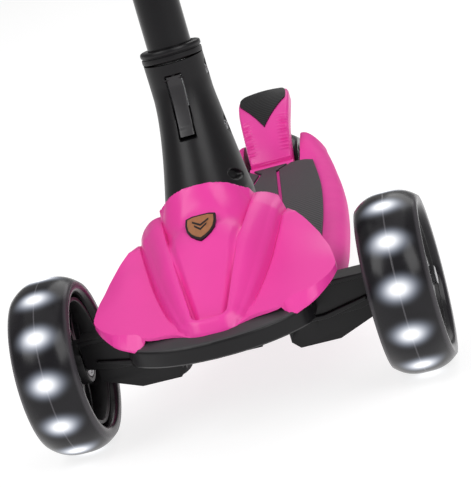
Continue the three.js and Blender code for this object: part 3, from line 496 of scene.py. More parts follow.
def tongue_height(x, y):
    """Crowned across, with a soft gutter along its edge."""
    centre = soft_points(COWL_MIDDLE, y)
    rounding = 0.009 + 0.035 * ramp(y, -25, 24) ** 2
    gutter = 2.3 * (1 - ease(abs(tongue_distance(x, y) + 1.4), 0, 3.6)) * ease(y, 10, -14)
    return centre - rounding * x * x - gutter


def band_height(share, wing, y):
    """The U-shaped ridge: highest at its inner edge, swelling a little, then rolling down to the wing."""
    crest = soft_points(BAND_CREST, y)
    foot = min(wing + 1.0, crest - 1.5)
    shoulder = 1 - math.sqrt(max(0.0, 1 - (0.985 * share) ** 2))
    swell = 1.5 * math.sin(math.pi * min(1.0, share * 1.35)) if share < 0.74 else 0.0
    return crest + swell - (crest - foot) * (0.42 * share + 0.58 * shoulder)


def rear_slope(y):
    """The cowl's highest surface: it falls away behind the tops of the ridge."""
    top, height = 38, 131.5
    if y > top:
        return height - 1.15 * (y - top) - 0.004 * (y - top) ** 2
    return height + 0.98 * (top - y)


def cowl_height(x, y):
    x = abs(x)
    away = tongue_distance(x, y)
    width = max(6.0, band_foot(y) - tongue_half(y))
    wing = wing_height(x, y)
    band = band_height(ramp(away, 0, width), wing, y)
    surface = tongue_height(x, y)
    surface += (band - surface) * ease(away, -0.5, 0.6)
    outside = ease(away, width - 0.2, width + 1.0)
    groove = 1.4 * (1 - ease(abs(away - width - 0.9), 0, 1.9)) * ease(y, 46, 24) * ease(y, NOSE_END, -46)
    surface = surface * (1 - outside) + wing * outside - groove
    surface = min(surface, rear_slope(y))
    dish = math.hypot(x / 15.5, (y - 1.0) / 11.5)
    surface -= 1.3 * (1 - ease(dish, 0.7, 1.15)) * ease(y, -14, 4)
    return max(surface, COWL_FLOOR)


def cowl_place(u, v):
    """Columns of the grid follow the tongue's edge and the ridge's foot from nose to back."""
    side = 2 * u - 1
    share = abs(side)
    x = COWL_HALF * share
    for _ in range(4):
        start, end = along_points(COWL_FRONT, x), along_points(COWL_REAR, x)
        y = start + (end - start) * v
        inner, outer = tongue_half(y), band_foot(y)
        knots = [
            (0, 0), (0.25, inner - 1.2), (0.33, inner + 1.2), (0.54, outer - 0.8), (0.6, outer + 1.6),
            (1, COWL_HALF),
        ]
        x = along_points(knots, share)
    return at(math.copysign(x, side), y, cowl_height(x, y))


def cowl_drop(point):
    """How deep the cowl's side wall is below its edge: deepest at the front corners of the wings."""
    x = abs(point.x / MM)
    y = (point.y - AXLE_Y) / MM
    if y > 20 or x < 15:
        return 3.0
    if x < 44:
        return 1.8
    return 1.8 + 9.2 * ease(x, 44.5, 49) * (1 - 0.72 * ramp(x, 50, 80)) * (0.3 + 0.7 * ease(y, -6, -34))


def make_cowl():
    """A thin shell open round the neck; the wings' front corners roll forwards into a lip."""
    bm = sheet(184, 186, cowl_place)
    inside = [f for f in bm.faces if under_neck(f.calc_center_median())]
    bmesh.ops.delete(bm, geom=inside, context="FACES")
    rim = [e for e in bm.edges if e.is_boundary and not near_neck(e)]
    for share, slope in ((0.85, 0.8), (0.15, 0.0)):
        grown = bmesh.ops.extrude_edge_only(bm, edges=rim)
        rim = new_edges(grown)
        for vertex in new_points(grown):
            drop = cowl_drop(vertex.co) * share
            ahead = (AXLE_Y - vertex.co.y) / MM
            out = abs(vertex.co.x) / MM
            lip = slope * drop * ease(out, 45, 50) * (1 - ramp(out, 64, 80)) * ease(ahead, 0, 40)
            vertex.co += Vector((math.copysign(0.1 * lip, vertex.co.x), -lip, -drop)) * MM
    piece = settle("cowl_shell", bm, PINK, "deck", ["front_cowl"], "pink_plastic", 28)
    walled(piece, 2.2)
    return bevelled(piece, 0.6, 2, 50)


# ---- Neck ----
NECK_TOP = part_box("neck_front")[1].z / MM
NECK_AXIS = 70.5
NECK_BACK = 91.5
NECK_FOOT = 84.0
STEM_TILT = math.radians(4)
STEM = Vector((0.0, math.sin(STEM_TILT), math.cos(STEM_TILT)))
STEM_FOOT = at(0, NECK_AXIS, NECK_TOP)
NECK_BORE = 17.4
NECK_SPLIT = 77
SPLIT_GAP = 0.00018
SCREW_LEVELS = {"upper": 217.0, "lower": 177.0}
POCKET_TURN = math.radians(62)
POCKET_LEVEL = 149


def neck_section(z):
    """Half-width, middle and front of the neck at a height."""
    half = 20.5 + 10 * ramp(-z, -205, -135) ** 1.35
    centre = NECK_AXIS - 19.5 * ramp(-z, -195, -140) ** 1.6
    front = NECK_AXIS - 20.5 - 38 * ramp(-z, -215, -140) ** 1.5
    return half, centre, front


def neck_place(turn, z):
    half, centre, front = neck_section(z)
    reach = centre - front if math.cos(turn) > 0 else NECK_BACK - centre
    return math.sin(turn) * half, centre - math.cos(turn) * reach


def neck_depth(point):
    """Below 1 inside the neck's section, taken a little larger than the neck, at a point's height."""
    margin = 0.6
    x, y, z = point.x / MM, (point.y - AXLE_Y) / MM, point.z / MM
    half, centre, front = neck_section(z)
    reach = centre - front if y < centre else NECK_BACK - centre
    return math.hypot(x / (half + margin), (y - centre) / (reach + margin))


def under_neck(point):
    return neck_depth(point) < 1.0


def near_neck(edge):
    return all(neck_depth(v.co) < 1.13 and abs(v.co.x) < 0.036 for v in edge.verts)


TAB_HALF = 5.6
TAB_TOP = 221.6
TAB_BOTTOM = 179.6


def tab_recess(x, z):
    """How deep the front recess is at a place on the neck."""
    across = 1 - ease(abs(x), TAB_HALF - 0.5, TAB_HALF + 0.3)
    down = ease(z, TAB_BOTTOM - 0.5, TAB_BOTTOM + 0.8) * (1 - ease(z, TAB_TOP - 0.6, TAB_TOP + 0.3))
    return (3.4 + 4.2 * ramp(-z, -TAB_TOP, -TAB_BOTTOM)) * across * down


def screw_dish(turn, z):
    """How deep the dish round each side screw is at a place on the neck."""
    depth = 0.0
    for height in SCREW_LEVELS.values():
        for middle_turn in (math.pi / 2, -math.pi / 2):
            half = neck_section(height)[0]
            away = math.hypot((turn - middle_turn) * half, (z - height) * (0.6 if z > height else 1.0))
            depth = max(depth, 1.6 * (1 - ease(away, 3.4, 5.0)))
    return depth


def tear_pocket(turn, z):
    """How deep the slanted pocket low on the rider's left of the neck is."""
    half = neck_section(z)[0]
    across = (turn - POCKET_TURN) * half
    level = (z - POCKET_LEVEL + 0.35 * across) / (3.2 - 0.13 * across)
    return 3.6 * (1 - ease(math.hypot(across / 7.2, level), 0.65, 1.08))


def neck_skin(u, v):
    turn = (u * 2 - 1) * math.pi
    z = NECK_FOOT + (NECK_TOP - NECK_FOOT) * v
    x, y = neck_place(turn, z)
    front = math.cos(turn) > 0.3
    y += tab_recess(x, z) if front else 0.0
    sink = screw_dish(turn, z) + (tear_pocket(turn, z) if turn > 0 else 0.0)
    return at(x - math.sin(turn) * sink, y + math.cos(turn) * sink, z)


def make_neck():
    """Two half shells that meet behind the stem, with a flat ring turned in to the socket's mouth."""
    bm = sheet(300, 220, neck_skin, around=True)
    top = [e for e in bm.edges if e.is_boundary and min(v.co.z for v in e.verts) > NECK_TOP * MM - 1e-5]
    lip = bmesh.ops.extrude_edge_only(bm, edges=top)
    for vertex in new_points(lip):
        out = (vertex.co - STEM_FOOT).xy.normalized() * NECK_BORE * MM
        vertex.co = Vector((STEM_FOOT.x + out.x, STEM_FOOT.y + out.y, vertex.co.z))
    split = at(0, NECK_SPLIT, 0)
    for node, ahead in (("neck_front", True), ("neck_rear", False)):
        half = bm.copy()
        shift = Vector((0, -SPLIT_GAP if ahead else SPLIT_GAP, 0))
        bmesh.ops.bisect_plane(
            half, geom=half.verts[:] + half.edges[:] + half.faces[:], plane_co=split + shift,
            plane_no=(0, 1, 0), clear_outer=ahead, clear_inner=not ahead,
        )
        shell = settle(node + "_shell", half, BLACK, "deck", [node], "black_nylon", 40)
        walled(shell, 1.6)


def make_collar():
    """Two moulded rings at the mouth of the socket."""
    height = 8.6
    profile = [
        (15.4, 0.3), (20.3, 0.3), (20.7, 0.7), (20.8, 1.8), (20.7, 3.6), (20.0, 4.1), (20.0, 4.6),
        (20.7, 5.0), (20.9, 5.6), (20.9, 7.2), (20.4, 8.1), (19.2, height), (17.2, height), (16.2, 8.1),
        (15.4, 7.2),
    ]
    bm = turned(profile, STEM_FOOT, STEM, 96)
    settle("neck_collar_rings", bm, BLACK, "deck", ["neck_collar"], "black_nylon", 30)


def make_release_tab():
    """The grey strip in the recess, with a thicker lip at its lower end."""

    def face(z):
        return neck_section(z)[2] + 0.6

    def where(u, v):
        turn = u * math.tau
        z = 182.0 + 38.9 * v
        across = max(-1.0, min(1.0, 1.35 * math.cos(turn)))
        depth = max(-1.0, min(1.0, 1.35 * math.sin(turn)))
        lip = 0.9 * (1 - ease(z, 185.5, 188.0))
        x = across * 4.75
        thick = 0.85 + lip / 2
        return at(x, face(z) + 0.9 - lip / 2 + depth * thick + 0.012 * x * x, z)

    bm = sheet(48, 60, where, around=True)
    bmesh.ops.holes_fill(bm, edges=[e for e in bm.edges if e.is_boundary])
    piece = settle("release_strip", bm, TAB_GREY, "release_tab", ["release_tab"], "grey_plastic", 50)
    bevelled(piece, 0.3, 2, 60)


def make_screws():
    """Domed socket-head screws, two on each side of the neck."""
    profile = [
        (0.0, -3.0), (1.8, -3.0), (1.8, -1.2), (3.5, -1.2), (3.6, 0.1), (3.1, 0.8), (2.2, 1.1), (1.6, 1.1),
        (1.4, 0.1), (0.0, 0.1),
    ]
    for level, height in SCREW_LEVELS.items():
        half = neck_section(height)[0]
        y = NECK_AXIS - (NECK_TOP - height) * math.tan(STEM_TILT)
        for side, name in SIDES:
            bm = turned(profile, at(side * (half - 1.4), y, height), (side, 0, 0), 32)
            node = f"neck_screw_{level}_{name}"
            settle(node + "_head", bm, BLACK_STEEL, "deck", [node], "steel", 40)


# ---- Badge ----
BADGE_Y = -9.0
BADGE_REACH = 8


def shield(scale):
    half = [
        (0, 12.4), (6, 12.2), (10.2, 10.6), (10.4, 4.0), (9.4, -2.0), (6.8, -7.0), (3.4, -10.6), (0, -12.8),
    ]
    return mirrored([(x * scale, y * scale) for x, y in half])


def make_badge():
    """A copper shield with a black border and two chevrons, lying on the slope of the tongue."""
    above, below = cowl_height(0, BADGE_Y + BADGE_REACH), cowl_height(0, BADGE_Y - BADGE_REACH)
    lean = Matrix.Rotation(math.atan2(above - below, 2 * BADGE_REACH), 3, "X")
    centre = at(0, BADGE_Y, 0.5 * (above + below) + 1.0)

    def on_badge(x, y, z):
        return centre + lean @ Vector((x * MM, y * MM, z * MM))

    plate = slab(shield(1.0), -1.6, 0.5, on_badge)
    bevelled(settle("badge_border", plate, BLACK, "deck", ["shield_badge"], "copper_badge"), 0.35, 3)
    plate = slab(shield(0.86), 0.45, 0.75, on_badge)
    bevelled(settle("badge_face", plate, COPPER, "deck", (), "copper_badge"), 0.12, 2)
    for i, height in enumerate((3.6, -0.6)):
        wide = 5.6 - i * 1.4
        arrow = [(0, height - 3.4), (wide, height + 1.2), (wide, height + 3.0), (0, height - 1.4)]
        chevron = slab(mirrored(arrow), 0.7, 1.0, on_badge)
        bevelled(settle(f"badge_chevron_{i + 1}", chevron, BLACK, "deck", (), "black_nylon"), 0.1, 2)


# ---- Wheels ----
ALONG_AXLE = (1, 0, 0)
BEARING_RADIUS = 11.0
FRONT_WHEEL = {"radius": 60.0, "width": 41.4, "inner": 45.9, "lights": 12}
REAR_WHEEL = {"radius": 45.0, "width": 40.0, "inner": 31.3, "lights": 0}
LIGHT_PHASE = {"left": 0.24, "right": 0.14}


def tyre_profile(radius, width, inner):
    half = width / 2
    points = [(inner, -half + 3.2), (inner + 1.5, -half + 0.8), (inner + 3, -half + 0.2)]
    crown = 12
    for step in range(-crown, crown + 1):
        share = step / crown
        points.append((radius - 7.2 * abs(share) ** 2.7, half * share))
    return points + [(inner + 3, half - 0.2), (inner + 1.5, half - 0.8), (inner, half - 3.2)]


def make_tyre(node, body, radius, width, inner, lights, phase=0.0):
    centre = middle(node)
    skin = smoky_tyre(node + "_smoke", tuple(centre), radius * MM, lights, phase)
    bm = turned(tyre_profile(radius, width, inner), centre, ALONG_AXLE, 160)
    settle(node + "_cast", bm, skin, body, [node], "smoky_pu", 60)


def spoke(bm, centre, turn, inner, outer, side):
    """One curved arm of a V spoke, from the boss to the rim."""
    steps = 8
    rows = []
    for i in range(steps + 1):
        share = i / steps
        radius = inner + (outer - inner) * share
        angle = turn + side * (0.1 + 0.3 * share ** 1.5)
        along = Vector((0, math.cos(angle), math.sin(angle)))
        across = Vector((0, -math.sin(angle), math.cos(angle))) * (1.5 + 0.7 * (1 - share))
        deep = 9.5 - 3.5 * share
        corners = [
            along * radius + across * edge + Vector((x, 0, 0))
            for x, edge in ((-deep, -1), (deep, -1), (deep, 1), (-deep, 1))
        ]
        rows.append([bm.verts.new(centre + corner * MM) for corner in corners])
    for a, b in zip(rows, rows[1:]):
        for i in range(4):
            bm.faces.new((a[i], a[(i + 1) % 4], b[(i + 1) % 4], b[i]))
    bm.faces.new(rows[0])
    bm.faces.new(rows[-1])


def make_hub(node, body, rim):
    """A barrel under the tyre, a boss round the bearings and six V spokes between them."""
    centre = middle(node)
    bearing = BEARING_RADIUS
    half = 16.0
    barrel = [
        (rim - 3, -half + 1), (rim - 2.4, -half), (rim, -half), (rim, half), (rim - 2.4, half),
        (rim - 3, half - 1), (rim - 3.6, 4), (rim - 3.6, -4),
    ]
    boss = [
        (bearing + 0.3, -half + 1), (bearing + 0.8, -half), (bearing + 3.4, -half), (bearing + 4, -half + 1),
        (bearing + 4.6, 0), (bearing + 4, half - 1), (bearing + 3.4, half), (bearing + 0.8, half),
        (bearing + 0.3, half - 1), (bearing + 0.3, half - 7.3), (bearing - 1.7, half - 7.3),
        (bearing - 1.7, -half + 7.3), (bearing + 0.3, -half + 7.3),
    ]
    bm = turned(barrel, centre, ALONG_AXLE, 96)
    for part in (turned(boss, centre, ALONG_AXLE, 64), spokes(centre, bearing + 3.5, rim - 2.4)):
        mesh = bpy.data.meshes.new("hub_part")
        part.to_mesh(mesh)
        part.free()
        bm.from_mesh(mesh)
        bpy.data.meshes.remove(mesh)
    bevelled(settle(node + "_spoked", bm, BLACK, body, [node], "black_nylon", 35), 0.35, 2, 50)


def spokes(centre, inner, outer):
    bm = bmesh.new()
    for i in range(6):
        for side in (-1, 1):
            spoke(bm, centre, i * math.tau / 6, inner, outer, side)
    return bm


def make_bearing(node, body):
    centre = middle(node)
    outer = BEARING_RADIUS
    profile = [
        (4.3, -3.5), (6.4, -3.5), (6.6, -3.0), (9.0, -3.0), (9.2, -3.5), (10.8, -3.5), (outer, -3.3),
        (outer, 3.3), (10.8, 3.5), (9.2, 3.5), (9.0, 3.0), (6.6, 3.0), (6.4, 3.5), (4.3, 3.5),
    ]
    ring = turned(profile, centre, ALONG_AXLE, 48)
    settle(node + "_ring", ring, BLACK_STEEL, body, [node], "steel", 30)


def make_wheels():
    for side in ("left", "right"):
        body = f"front_wheel_{side}"
        make_tyre(f"front_tyre_{side}", body, **FRONT_WHEEL, phase=LIGHT_PHASE[side])
        make_hub(f"front_hub_{side}", body, 43.5)
        for node in (f"inner_bearing_{side}", f"outer_bearing_{side}"):
            make_bearing(node, body)
        make_bearing(f"rear_bearing_{side}", "rear_wheel")
        refined(f"light_ring_{side}", 0.2, LIGHT_RING)
    make_tyre("rear_tyre", "rear_wheel", **REAR_WHEEL)
    make_hub("rear_hub", "rear_wheel", 31.0)


# ---- Deck ----
DECK_TOP = 76.0
DECK_LOW = 60.0
DECK_FRONT = -14.0
DECK_BACK = 412.0
NOTCH_HALF = 24.4
NOTCH_FRONT = 344.5
DECK_SIDE = [
    (DECK_FRONT, 41), (-9, 53), (4, 65), (28, 72), (62, 75), (114, 74), (178, 70.5), (250, 64), (327, 53),
    (370, 46), (396, 41.5), (406, 40), (DECK_BACK, 36.5),
]


def deck_side(y):
    return soft_points(DECK_SIDE, y)


def deck_height(x, y):
    """The deck's top: flat, rounded down to its edge, with two ears rising beside the fender."""
    side = deck_side(y)
    from_edge = max(0.0, side - abs(x))
    from_end = max(0.0, min(y - DECK_FRONT, DECK_BACK - y))
    near = min(from_edge / 14.5, from_end / 12.0 if y > 380 else 1.0)
    shoulder = 11.0 * (1 - math.sqrt(max(0.0, 1 - (1 - min(1.0, near)) ** 2.2)))
    climb = ease(y, 334, 398) * (1 - 0.75 * ramp(y, 392, DECK_BACK) ** 2)
    fall = ramp(abs(x), NOTCH_HALF + 1.0, max(NOTCH_HALF + 9, side - 1))
    ear = 12.0 * climb * (1 - fall * fall * (1.7 - 0.7 * fall))
    return DECK_TOP - shoulder + ear


def make_deck():
    """A hollow moulding with a notch at the back for the rear wheel."""
    inner, columns, rows = 20, 76, 150
    share = inner / columns
    ahead = 0.8

    def where(u, v):
        if v <= ahead:
            y = DECK_FRONT + (NOTCH_FRONT - DECK_FRONT) * v / ahead
        else:
            y = NOTCH_FRONT + (DECK_BACK - NOTCH_FRONT) * (v - ahead) / 0.2
        side = 2 * u - 1
        if abs(side) <= share + 1e-6:
            x = NOTCH_HALF * side / share
        else:
            reach = (abs(side) - share) / (1 - share)
            x = math.copysign(NOTCH_HALF + (deck_side(y) - NOTCH_HALF) * (1 - (1 - reach) ** 1.5), side)
        return at(x, y, deck_height(x, y))

    bm = sheet(columns, rows, where)
    notch_y = at(0, NOTCH_FRONT + 0.5, 0).y
    gone = []
    for face in bm.faces:
        centre = face.calc_center_median()
        in_notch = abs(centre.x) < (NOTCH_HALF - 0.1) * MM and centre.y > notch_y
        if in_notch or under_neck(centre):
            gone.append(face)
    bmesh.ops.delete(bm, geom=gone, context="FACES")
    rim = [e for e in bm.edges if e.is_boundary and not near_neck(e)]
    for vertex in new_points(bmesh.ops.extrude_edge_only(bm, edges=rim)):
        vertex.co.z = DECK_LOW * MM
    piece = settle("deck_moulding", bm, DECK_PINK, "deck", ["deck_shell"], "pink_plastic", 40)
    walled(piece, 2.6)
    bevelled(piece, 0.7, 2, 50)


def make_under_edge():
    """The black edge that shows below the pink deck along both sides."""
    steps, front, length, width = 59, -6, 396, 5.5
    places = [front + length * i / steps for i in range(steps + 1)]
    outline = [(deck_side(y) - 2.6, y) for y in places]
    inner = [(x - width, y) for x, y in reversed(outline)]
    for side, name in SIDES:
        loop = [(side * x, y) for x, y in outline + inner]
        rail = settle(f"under_edge_{name}", slab(loop, 58.2, 61.5), BLACK, "deck", (), "black_nylon", 40)
        bevelled(rail, 0.5, 2)


STRIP_NECK = 326
PAD_BACK = 341.5


def strip_half(y):
    """Half-width of the centre strip: it narrows to the rear, then flares at its end."""
    if y > STRIP_NECK:
        return 6 + 8 * ramp(y, STRIP_NECK, PAD_BACK)
    return 28 - 22 * ramp(y, 130, STRIP_NECK)


def make_pads():
    """Two grip pads, one on either side of the centre strip, with a pink line left between."""
    low, high = DECK_TOP - 0.2, DECK_TOP + 2.0
    front = 36.0
    outer = [(deck_side(y) - 15.6, y) for y in [front + i * 7.4 for i in range(41)]]
    rear = [(30.0, 339.0), (24.0, PAD_BACK), (strip_half(PAD_BACK) + 3.4, PAD_BACK)]
    inner = [(strip_half(y) + 2.5, y) for y in (STRIP_NECK, 261, 196, 130, 100)]
    half = [(36.0, front)] + outer + rear + inner
    for side, name in SIDES:
        pad = slab([(side * x, y) for x, y in half], low, high)
        piece = settle(f"grip_pad_{name}_skin", pad, PAD, "deck", [f"grip_pad_{name}"], "grey_pad", 30)
        bevelled(piece, 0.6, 3)
    strip = slab(mirrored([(strip_half(y), y) for y in (97, 130, 196, 261, STRIP_NECK, PAD_BACK)]), low, high)
    piece = settle("centre_strip_skin_plate", strip, STRIP, "deck", ["centre_strip"], "grey_pad", 30)
    bevelled(piece, 0.6, 3)


# ---- Bumper ----
def make_bumper():
    """A curved black nose whose grey ledge slopes up and back under the cowl."""
    edge = [(0, -84.6), (16, -83), (32, -78.4), (44, -72), (53, -65), (58.5, -58), (61, -50)]
    spread = [(0, 0), (0.25, 16), (0.48, 32), (0.66, 44), (0.8, 53), (0.9, 58.5), (1, 61)]
    section = [
        (0.0, 30, 66.0), (0.1, 8, 65.4), (0.16, 2, 65.8), (0.2, 0.5, 67.2), (0.34, 0, 76.4),
        (0.38, 0.6, 77.4), (0.42, 1.6, 78.2), (0.7, 13, 81.2), (1.0, 40, 82.0),
    ]
    backs = [(share, back) for share, back, z in section]
    heights = [(share, z) for share, back, z in section]

    def where(u, v):
        side = 2 * u - 1
        bow = abs(side)
        x = soft_points(spread, bow)
        front = soft_points(edge, x)
        back = along_points(backs, v)
        z = along_points(heights, v)
        taper = 1 - 0.35 * ease(bow, 0.8, 1.0) * ramp(z, 70, 64)
        y = min(front + back * taper, -42)
        return at(math.copysign(x * (1 - 0.0012 * back * (1 - bow)), side), y, z)

    bm = sheet(120, 60, where)
    for face in bm.faces:
        face.material_index = 1 if face.calc_center_median().z > 77.6 * MM else 0
    piece = settle("bumper_nose", bm, [BLACK, LEDGE_GREY], "deck", ["front_bumper"], "black_nylon", 30)
    walled(piece, 2.0)


# ---- Brake fender ----
HINGE_Y = 352
FENDER_LINE = [(HINGE_Y, 79), (361, 92), (373, 105), (391, 116.5), (410, 123), (428, 122.5), (440, 115)]
FENDER_RUNS = [0.0]
for (y0, z0), (y1, z1) in zip(FENDER_LINE, FENDER_LINE[1:]):
    FENDER_RUNS.append(FENDER_RUNS[-1] + math.hypot(y1 - y0, z1 - z0))
FENDER_LENGTH = FENDER_RUNS[-1]


def fender_point(run):
    """Place and upward direction on the fender's middle line, a share of the way along it."""
    length = run * FENDER_LENGTH
    before, after = max(0, length - 1), min(length + 1, FENDER_LENGTH)
    ys = [(s, p[0]) for s, p in zip(FENDER_RUNS, FENDER_LINE)]
    zs = [(s, p[1]) for s, p in zip(FENDER_RUNS, FENDER_LINE)]
    dy = soft_points(ys, after) - soft_points(ys, before)
    dz = soft_points(zs, after) - soft_points(zs, before)
    size = math.hypot(dy, dz)
    return soft_points(ys, length), soft_points(zs, length), -dz / size, dy / size


def fender_half(run):
    return soft_points([(0, 17.8), (0.3, 19.6), (0.55, 21.6), (0.75, 21.6), (0.9, 18.5), (1.0, 10.5)], run)


def fender_place(u, v, lift=0.0):
    """A point on the fender: a crowned top between two skirts, ribbed towards the hinge."""
    y, z, ny, nz = fender_point(v)
    half = fender_half(v)
    side = 2 * u - 1
    flat = 0.64
    bow = abs(side)
    if bow < flat:
        x = half * 0.93 * bow / flat
        down = 1.6 * (bow / flat) ** 2
    else:
        corner = (bow - flat) / (1 - flat)
        x = half * (0.93 + 0.07 * math.sin(min(1.0, corner * 3) * math.pi / 2))
        down = 1.6 + 9.4 * corner
    ribs = 0.6 * math.sin(v * FENDER_LENGTH * math.tau / 3.1) * ease(bow, 0.3, 0.5)
    ribs = ribs * (1 - ease(v, 0.38, 0.44)) * ease(v, 0.06, 0.1)
    rise = lift - down + ribs
    return at(math.copysign(x, side), y + ny * rise, z + nz * rise)


PAD_START = 0.31
PAD_LENGTH = 0.64
PAD_HALF = 0.62


def pad_reach(run):
    """Half-width of the foot pad, as a share of the fender's: pointed in front, round behind."""
    if run < 0.7:
        reach = PAD_HALF * ramp(run, PAD_START, 0.62)
    else:
        reach = PAD_HALF * math.sqrt(max(0.0, 1 - ((run - 0.7) / 0.255) ** 2))
    return max(reach, 0.004)


def pad_place(u, v):
    """A point on the foot pad, which lies on the fender and has fine ribs across it."""
    run = PAD_START + PAD_LENGTH * v
    side = (2 * u - 1) * pad_reach(run)
    rib = 0.18 * math.sin(run * FENDER_LENGTH * math.tau / 2.2)
    return fender_place((side + 1) / 2, run, 1.1 + rib)


def make_fender():
    shell = sheet(56, 150, fender_place)
    piece = settle("fender_shell", shell, PINK, "brake_fender", ["brake_fender"], "pink_plastic", 60)
    walled(piece, 2.6)
    bevelled(piece, 0.5, 2, 60)
    knuckle = [(2.8, -18.5), (5.4, -18.5), (5.4, 18.5), (2.8, 18.5)]
    barrel = turned(knuckle, at(0, HINGE_Y, 72), ALONG_AXLE, 48)
    bevelled(settle("fender_barrel", barrel, PINK, "brake_fender", (), "pink_plastic"), 0.4)
    web = slab([(-17.0, 352.5), (17.0, 352.5), (17.0, 357.0), (-17.0, 357.0)], 74.0, 81.0)
    bevelled(settle("fender_web", web, PINK, "brake_fender", (), "pink_plastic"), 0.5)
    pad = sheet(40, 120, pad_place)
    piece = settle("fender_insert", pad, BLACK, "brake_fender", ["fender_pad"], "black_nylon", 60)
    walled(piece, 1.6)
    bevelled(piece, 0.3, 2, 60)


# ---- T-bar ----
def tube(name, node, body, profile, centre, direction, skin=GLOSS_BLACK, slot="black_anodised"):
    settle(name, turned(profile, centre, direction), skin, body, [node], slot, 30)


def pipe(radius, low, high):
    inner = radius - 1.6
    return [
        (inner, low + 0.4), (inner + 0.3, low), (radius - 0.4, low), (radius, low + 0.5),
        (radius, high - 0.5), (radius - 0.4, high), (inner + 0.3, high), (inner, high - 0.4),
    ]


BAR_HEIGHT = (middle("crossbar") - STEM_FOOT).dot(STEM) / MM
BAR_HALF = 135
LOWER_TUBE = pipe(15, -96, 245.0)
UPPER_TUBE = pipe(12.7, 40, BAR_HEIGHT - 16)


def grip_profile(side):
    """A ringed sleeve with a thick inner flange and a closed, swollen end."""
    end, start, bore = 138.0, 46.0, 11.3
    points = [(0.0, end), (12.5, end), (15.2, end - 1.2), (16.2, end - 3.5), (15.4, end - 7)]
    rings = 16
    for i in range(rings):
        ring = end - 12 - (end - start - 26) * i / (rings - 1)
        points += [(15.2, ring + 1.3), (14.4, ring + 0.9), (14.4, ring - 0.9), (15.2, ring - 1.3)]
    points += [
        (15.4, start + 9), (18.4, start + 5), (18.9, start + 2.5), (18.2, start), (bore, start),
        (bore, BAR_HALF + 0.3), (0.0, BAR_HALF + 0.3),
    ]
    return [(radius, side * along) for radius, along in points]


def make_t_bar():
    tube("lower_tube_black", "lower_tube", "t_bar_lower", LOWER_TUBE, STEM_FOOT, STEM)
    tube("upper_tube_black", "upper_tube", "t_bar_upper", UPPER_TUBE, STEM_FOOT, STEM)
    bar = STEM_FOOT + STEM * BAR_HEIGHT * MM
    tube("crossbar_black", "crossbar", "t_bar_upper", pipe(11, -BAR_HALF, BAR_HALF), bar, ALONG_AXLE)
    for side, name in SIDES:
        grip = f"grip_{name}"
        finish = {"skin": RUBBER, "slot": "black_rubber"}
        tube(grip + "_ringed", grip, "t_bar_upper", grip_profile(side), bar, ALONG_AXLE, **finish)
    refined("handlebar_tee", 1.2)
    refined("height_clamp", 0.8)
    refined("clamp_lever", 0.9)
    refined("clamp_bolt", 0.3, STEEL)
    refined("socket_sleeve", 0.2, STEEL)


def make_frame_parts():
    for side in ("left", "right"):
        refined(f"steering_arm_{side}", 1.4)
        refined(f"front_axle_{side}", 0.3, BLACK_STEEL)
        refined(f"kingpin_{side}", 0.3, BLACK_STEEL)
        refined(f"centring_bush_{side}", 0.5, RUBBER)
        refined(f"rear_spacer_{side}", 0.3, STEEL)
    refined("chassis", 0.8)
    refined("tie_rod", 0.8)
    refined("tab_pin", 0.0, BLACK)
    refined("rear_axle", 0.3, STEEL)
    refined("rear_axle_nut", 0.3, STEEL)
    refined("fender_pin", 0.2, STEEL)
    refined("fender_spring", 0.0, STEEL)
    refined("brake_shoe", 0.5, BLACK_STEEL)


def upright(x, z, y):
    """Places a plate that stands across the scooter."""
    return at(x, y, z)


def make_arm_flanges():
    """The upper web, flange and front rib of each steering arm, from under the cowl to the wheel."""
    web = [(51, 60), (52, 72), (57, 76), (64, 78), (101, 77), (101, 58), (86, 54), (58, 53)]
    flange = [(57, -17.5), (101, -18.5), (101, 2), (74, 2), (68, -11), (57, -12)]
    rib = [(37, 44), (37, 55), (46, 57.5), (62, 57), (92, 63), (92, 60), (64, 53.5), (48, 54), (40, 50)]
    plates = (
        ("arm_web", web, -15.0, -11.0, upright),
        ("arm_flange", flange, 75.0, 78.6, at),
        ("arm_rib", rib, -17.6, -14.0, upright),
    )
    for side, name in SIDES:
        for label, outline, low, high, place in plates:
            bm = slab([(side * a, b) for a, b in outline], low, high, place)
            piece = settle(f"{label}_{name}", bm, BLACK, f"arm_{name}", (), "black_nylon", 40)
            bevelled(piece, 1.0, 2)


# ---- Studio ----
FLOOR_WIDTH = 90


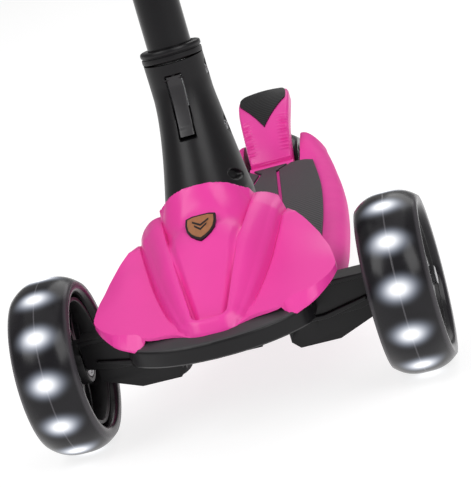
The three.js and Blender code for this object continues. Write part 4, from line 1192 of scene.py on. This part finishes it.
def make_studio():
    """A wide pale floor that glows a little, soft lamps all round and plain pale air."""
    floor = sheet(4, 4, lambda u, v: Vector(((u - 0.5) * FLOOR_WIDTH, (v - 0.5) * FLOOR_WIDTH, 0)))
    mesh = bpy.data.meshes.new("studio_floor")
    floor.to_mesh(mesh)
    floor.free()
    ground = bpy.data.objects.new("studio_floor", mesh)
    bpy.context.scene.collection.objects.link(ground)
    paint = Paint("pale_floor", 0.85)
    paint.base((0.28, 0.28, 0.28))
    paint.shader.inputs["Emission Color"].default_value = (1.0, 1.0, 1.0, 1.0)
    paint.shader.inputs["Emission Strength"].default_value = 0.8
    mesh.materials.append(paint.material)
    world = bpy.data.worlds.new("studio_air")
    bpy.context.scene.world = world
    world.use_nodes = True
    air = world.node_tree.nodes["Background"].inputs
    air["Color"].default_value = (1.0, 1.0, 1.0, 1.0)
    air["Strength"].default_value = 0.28
    aim = Vector((0, -0.1, 0.1))
    lamps = [
        ("key_left", (-1.4, -1.6, 2.0), 1.5, 29.0), ("fill_right", (1.5, -1.5, 1.5), 1.4, 25.0),
        ("overhead", (0.0, 0.2, 2.6), 3.0, 17.0), ("rim_back", (0.6, 1.9, 1.6), 1.6, 12.0),
    ]
    for name, place, size, power in lamps:
        lamp = bpy.data.lights.new(name, "AREA")
        lamp.size = size
        lamp.energy = power
        holder = bpy.data.objects.new(name, lamp)
        holder.location = place
        holder.rotation_euler = (aim - Vector(place)).to_track_quat("-Z", "Y").to_euler()
        bpy.context.scene.collection.objects.link(holder)


def make_camera():
    """A long lens from ahead and to the rider's left, rolled a little."""
    around, up, roll = math.radians(10.86), math.radians(15.01), math.radians(-17.01)
    back = Vector((math.sin(around) * math.cos(up), -math.cos(around) * math.cos(up), math.sin(up)))
    right = Vector((math.cos(around), math.sin(around), 0))
    top = back.cross(right)
    rolled_right = math.cos(roll) * right + math.sin(roll) * top
    rolled_top = math.cos(roll) * top - math.sin(roll) * right
    turn = Matrix((rolled_right, rolled_top, back)).transposed().to_4x4()
    data = bpy.data.cameras.new("studio_camera")
    data.lens = 151.27
    data.sensor_width = 36
    data.shift_x = 0.0176
    data.shift_y = 0.0415
    camera = bpy.data.objects.new("studio_camera", data)
    camera.matrix_world = Matrix.Translation(at(251.1, -1269.1, 447.3)) @ turn
    bpy.context.scene.collection.objects.link(camera)
    bpy.context.scene.camera = camera


make_studio()
make_camera()
make_cowl()
make_badge()
make_neck()
make_collar()
make_release_tab()
make_screws()
make_wheels()
make_deck()
make_under_edge()
make_pads()
make_bumper()
make_fender()
make_t_bar()
make_frame_parts()
make_arm_flanges()
bpy.context.scene.view_settings.view_transform = "Standard"
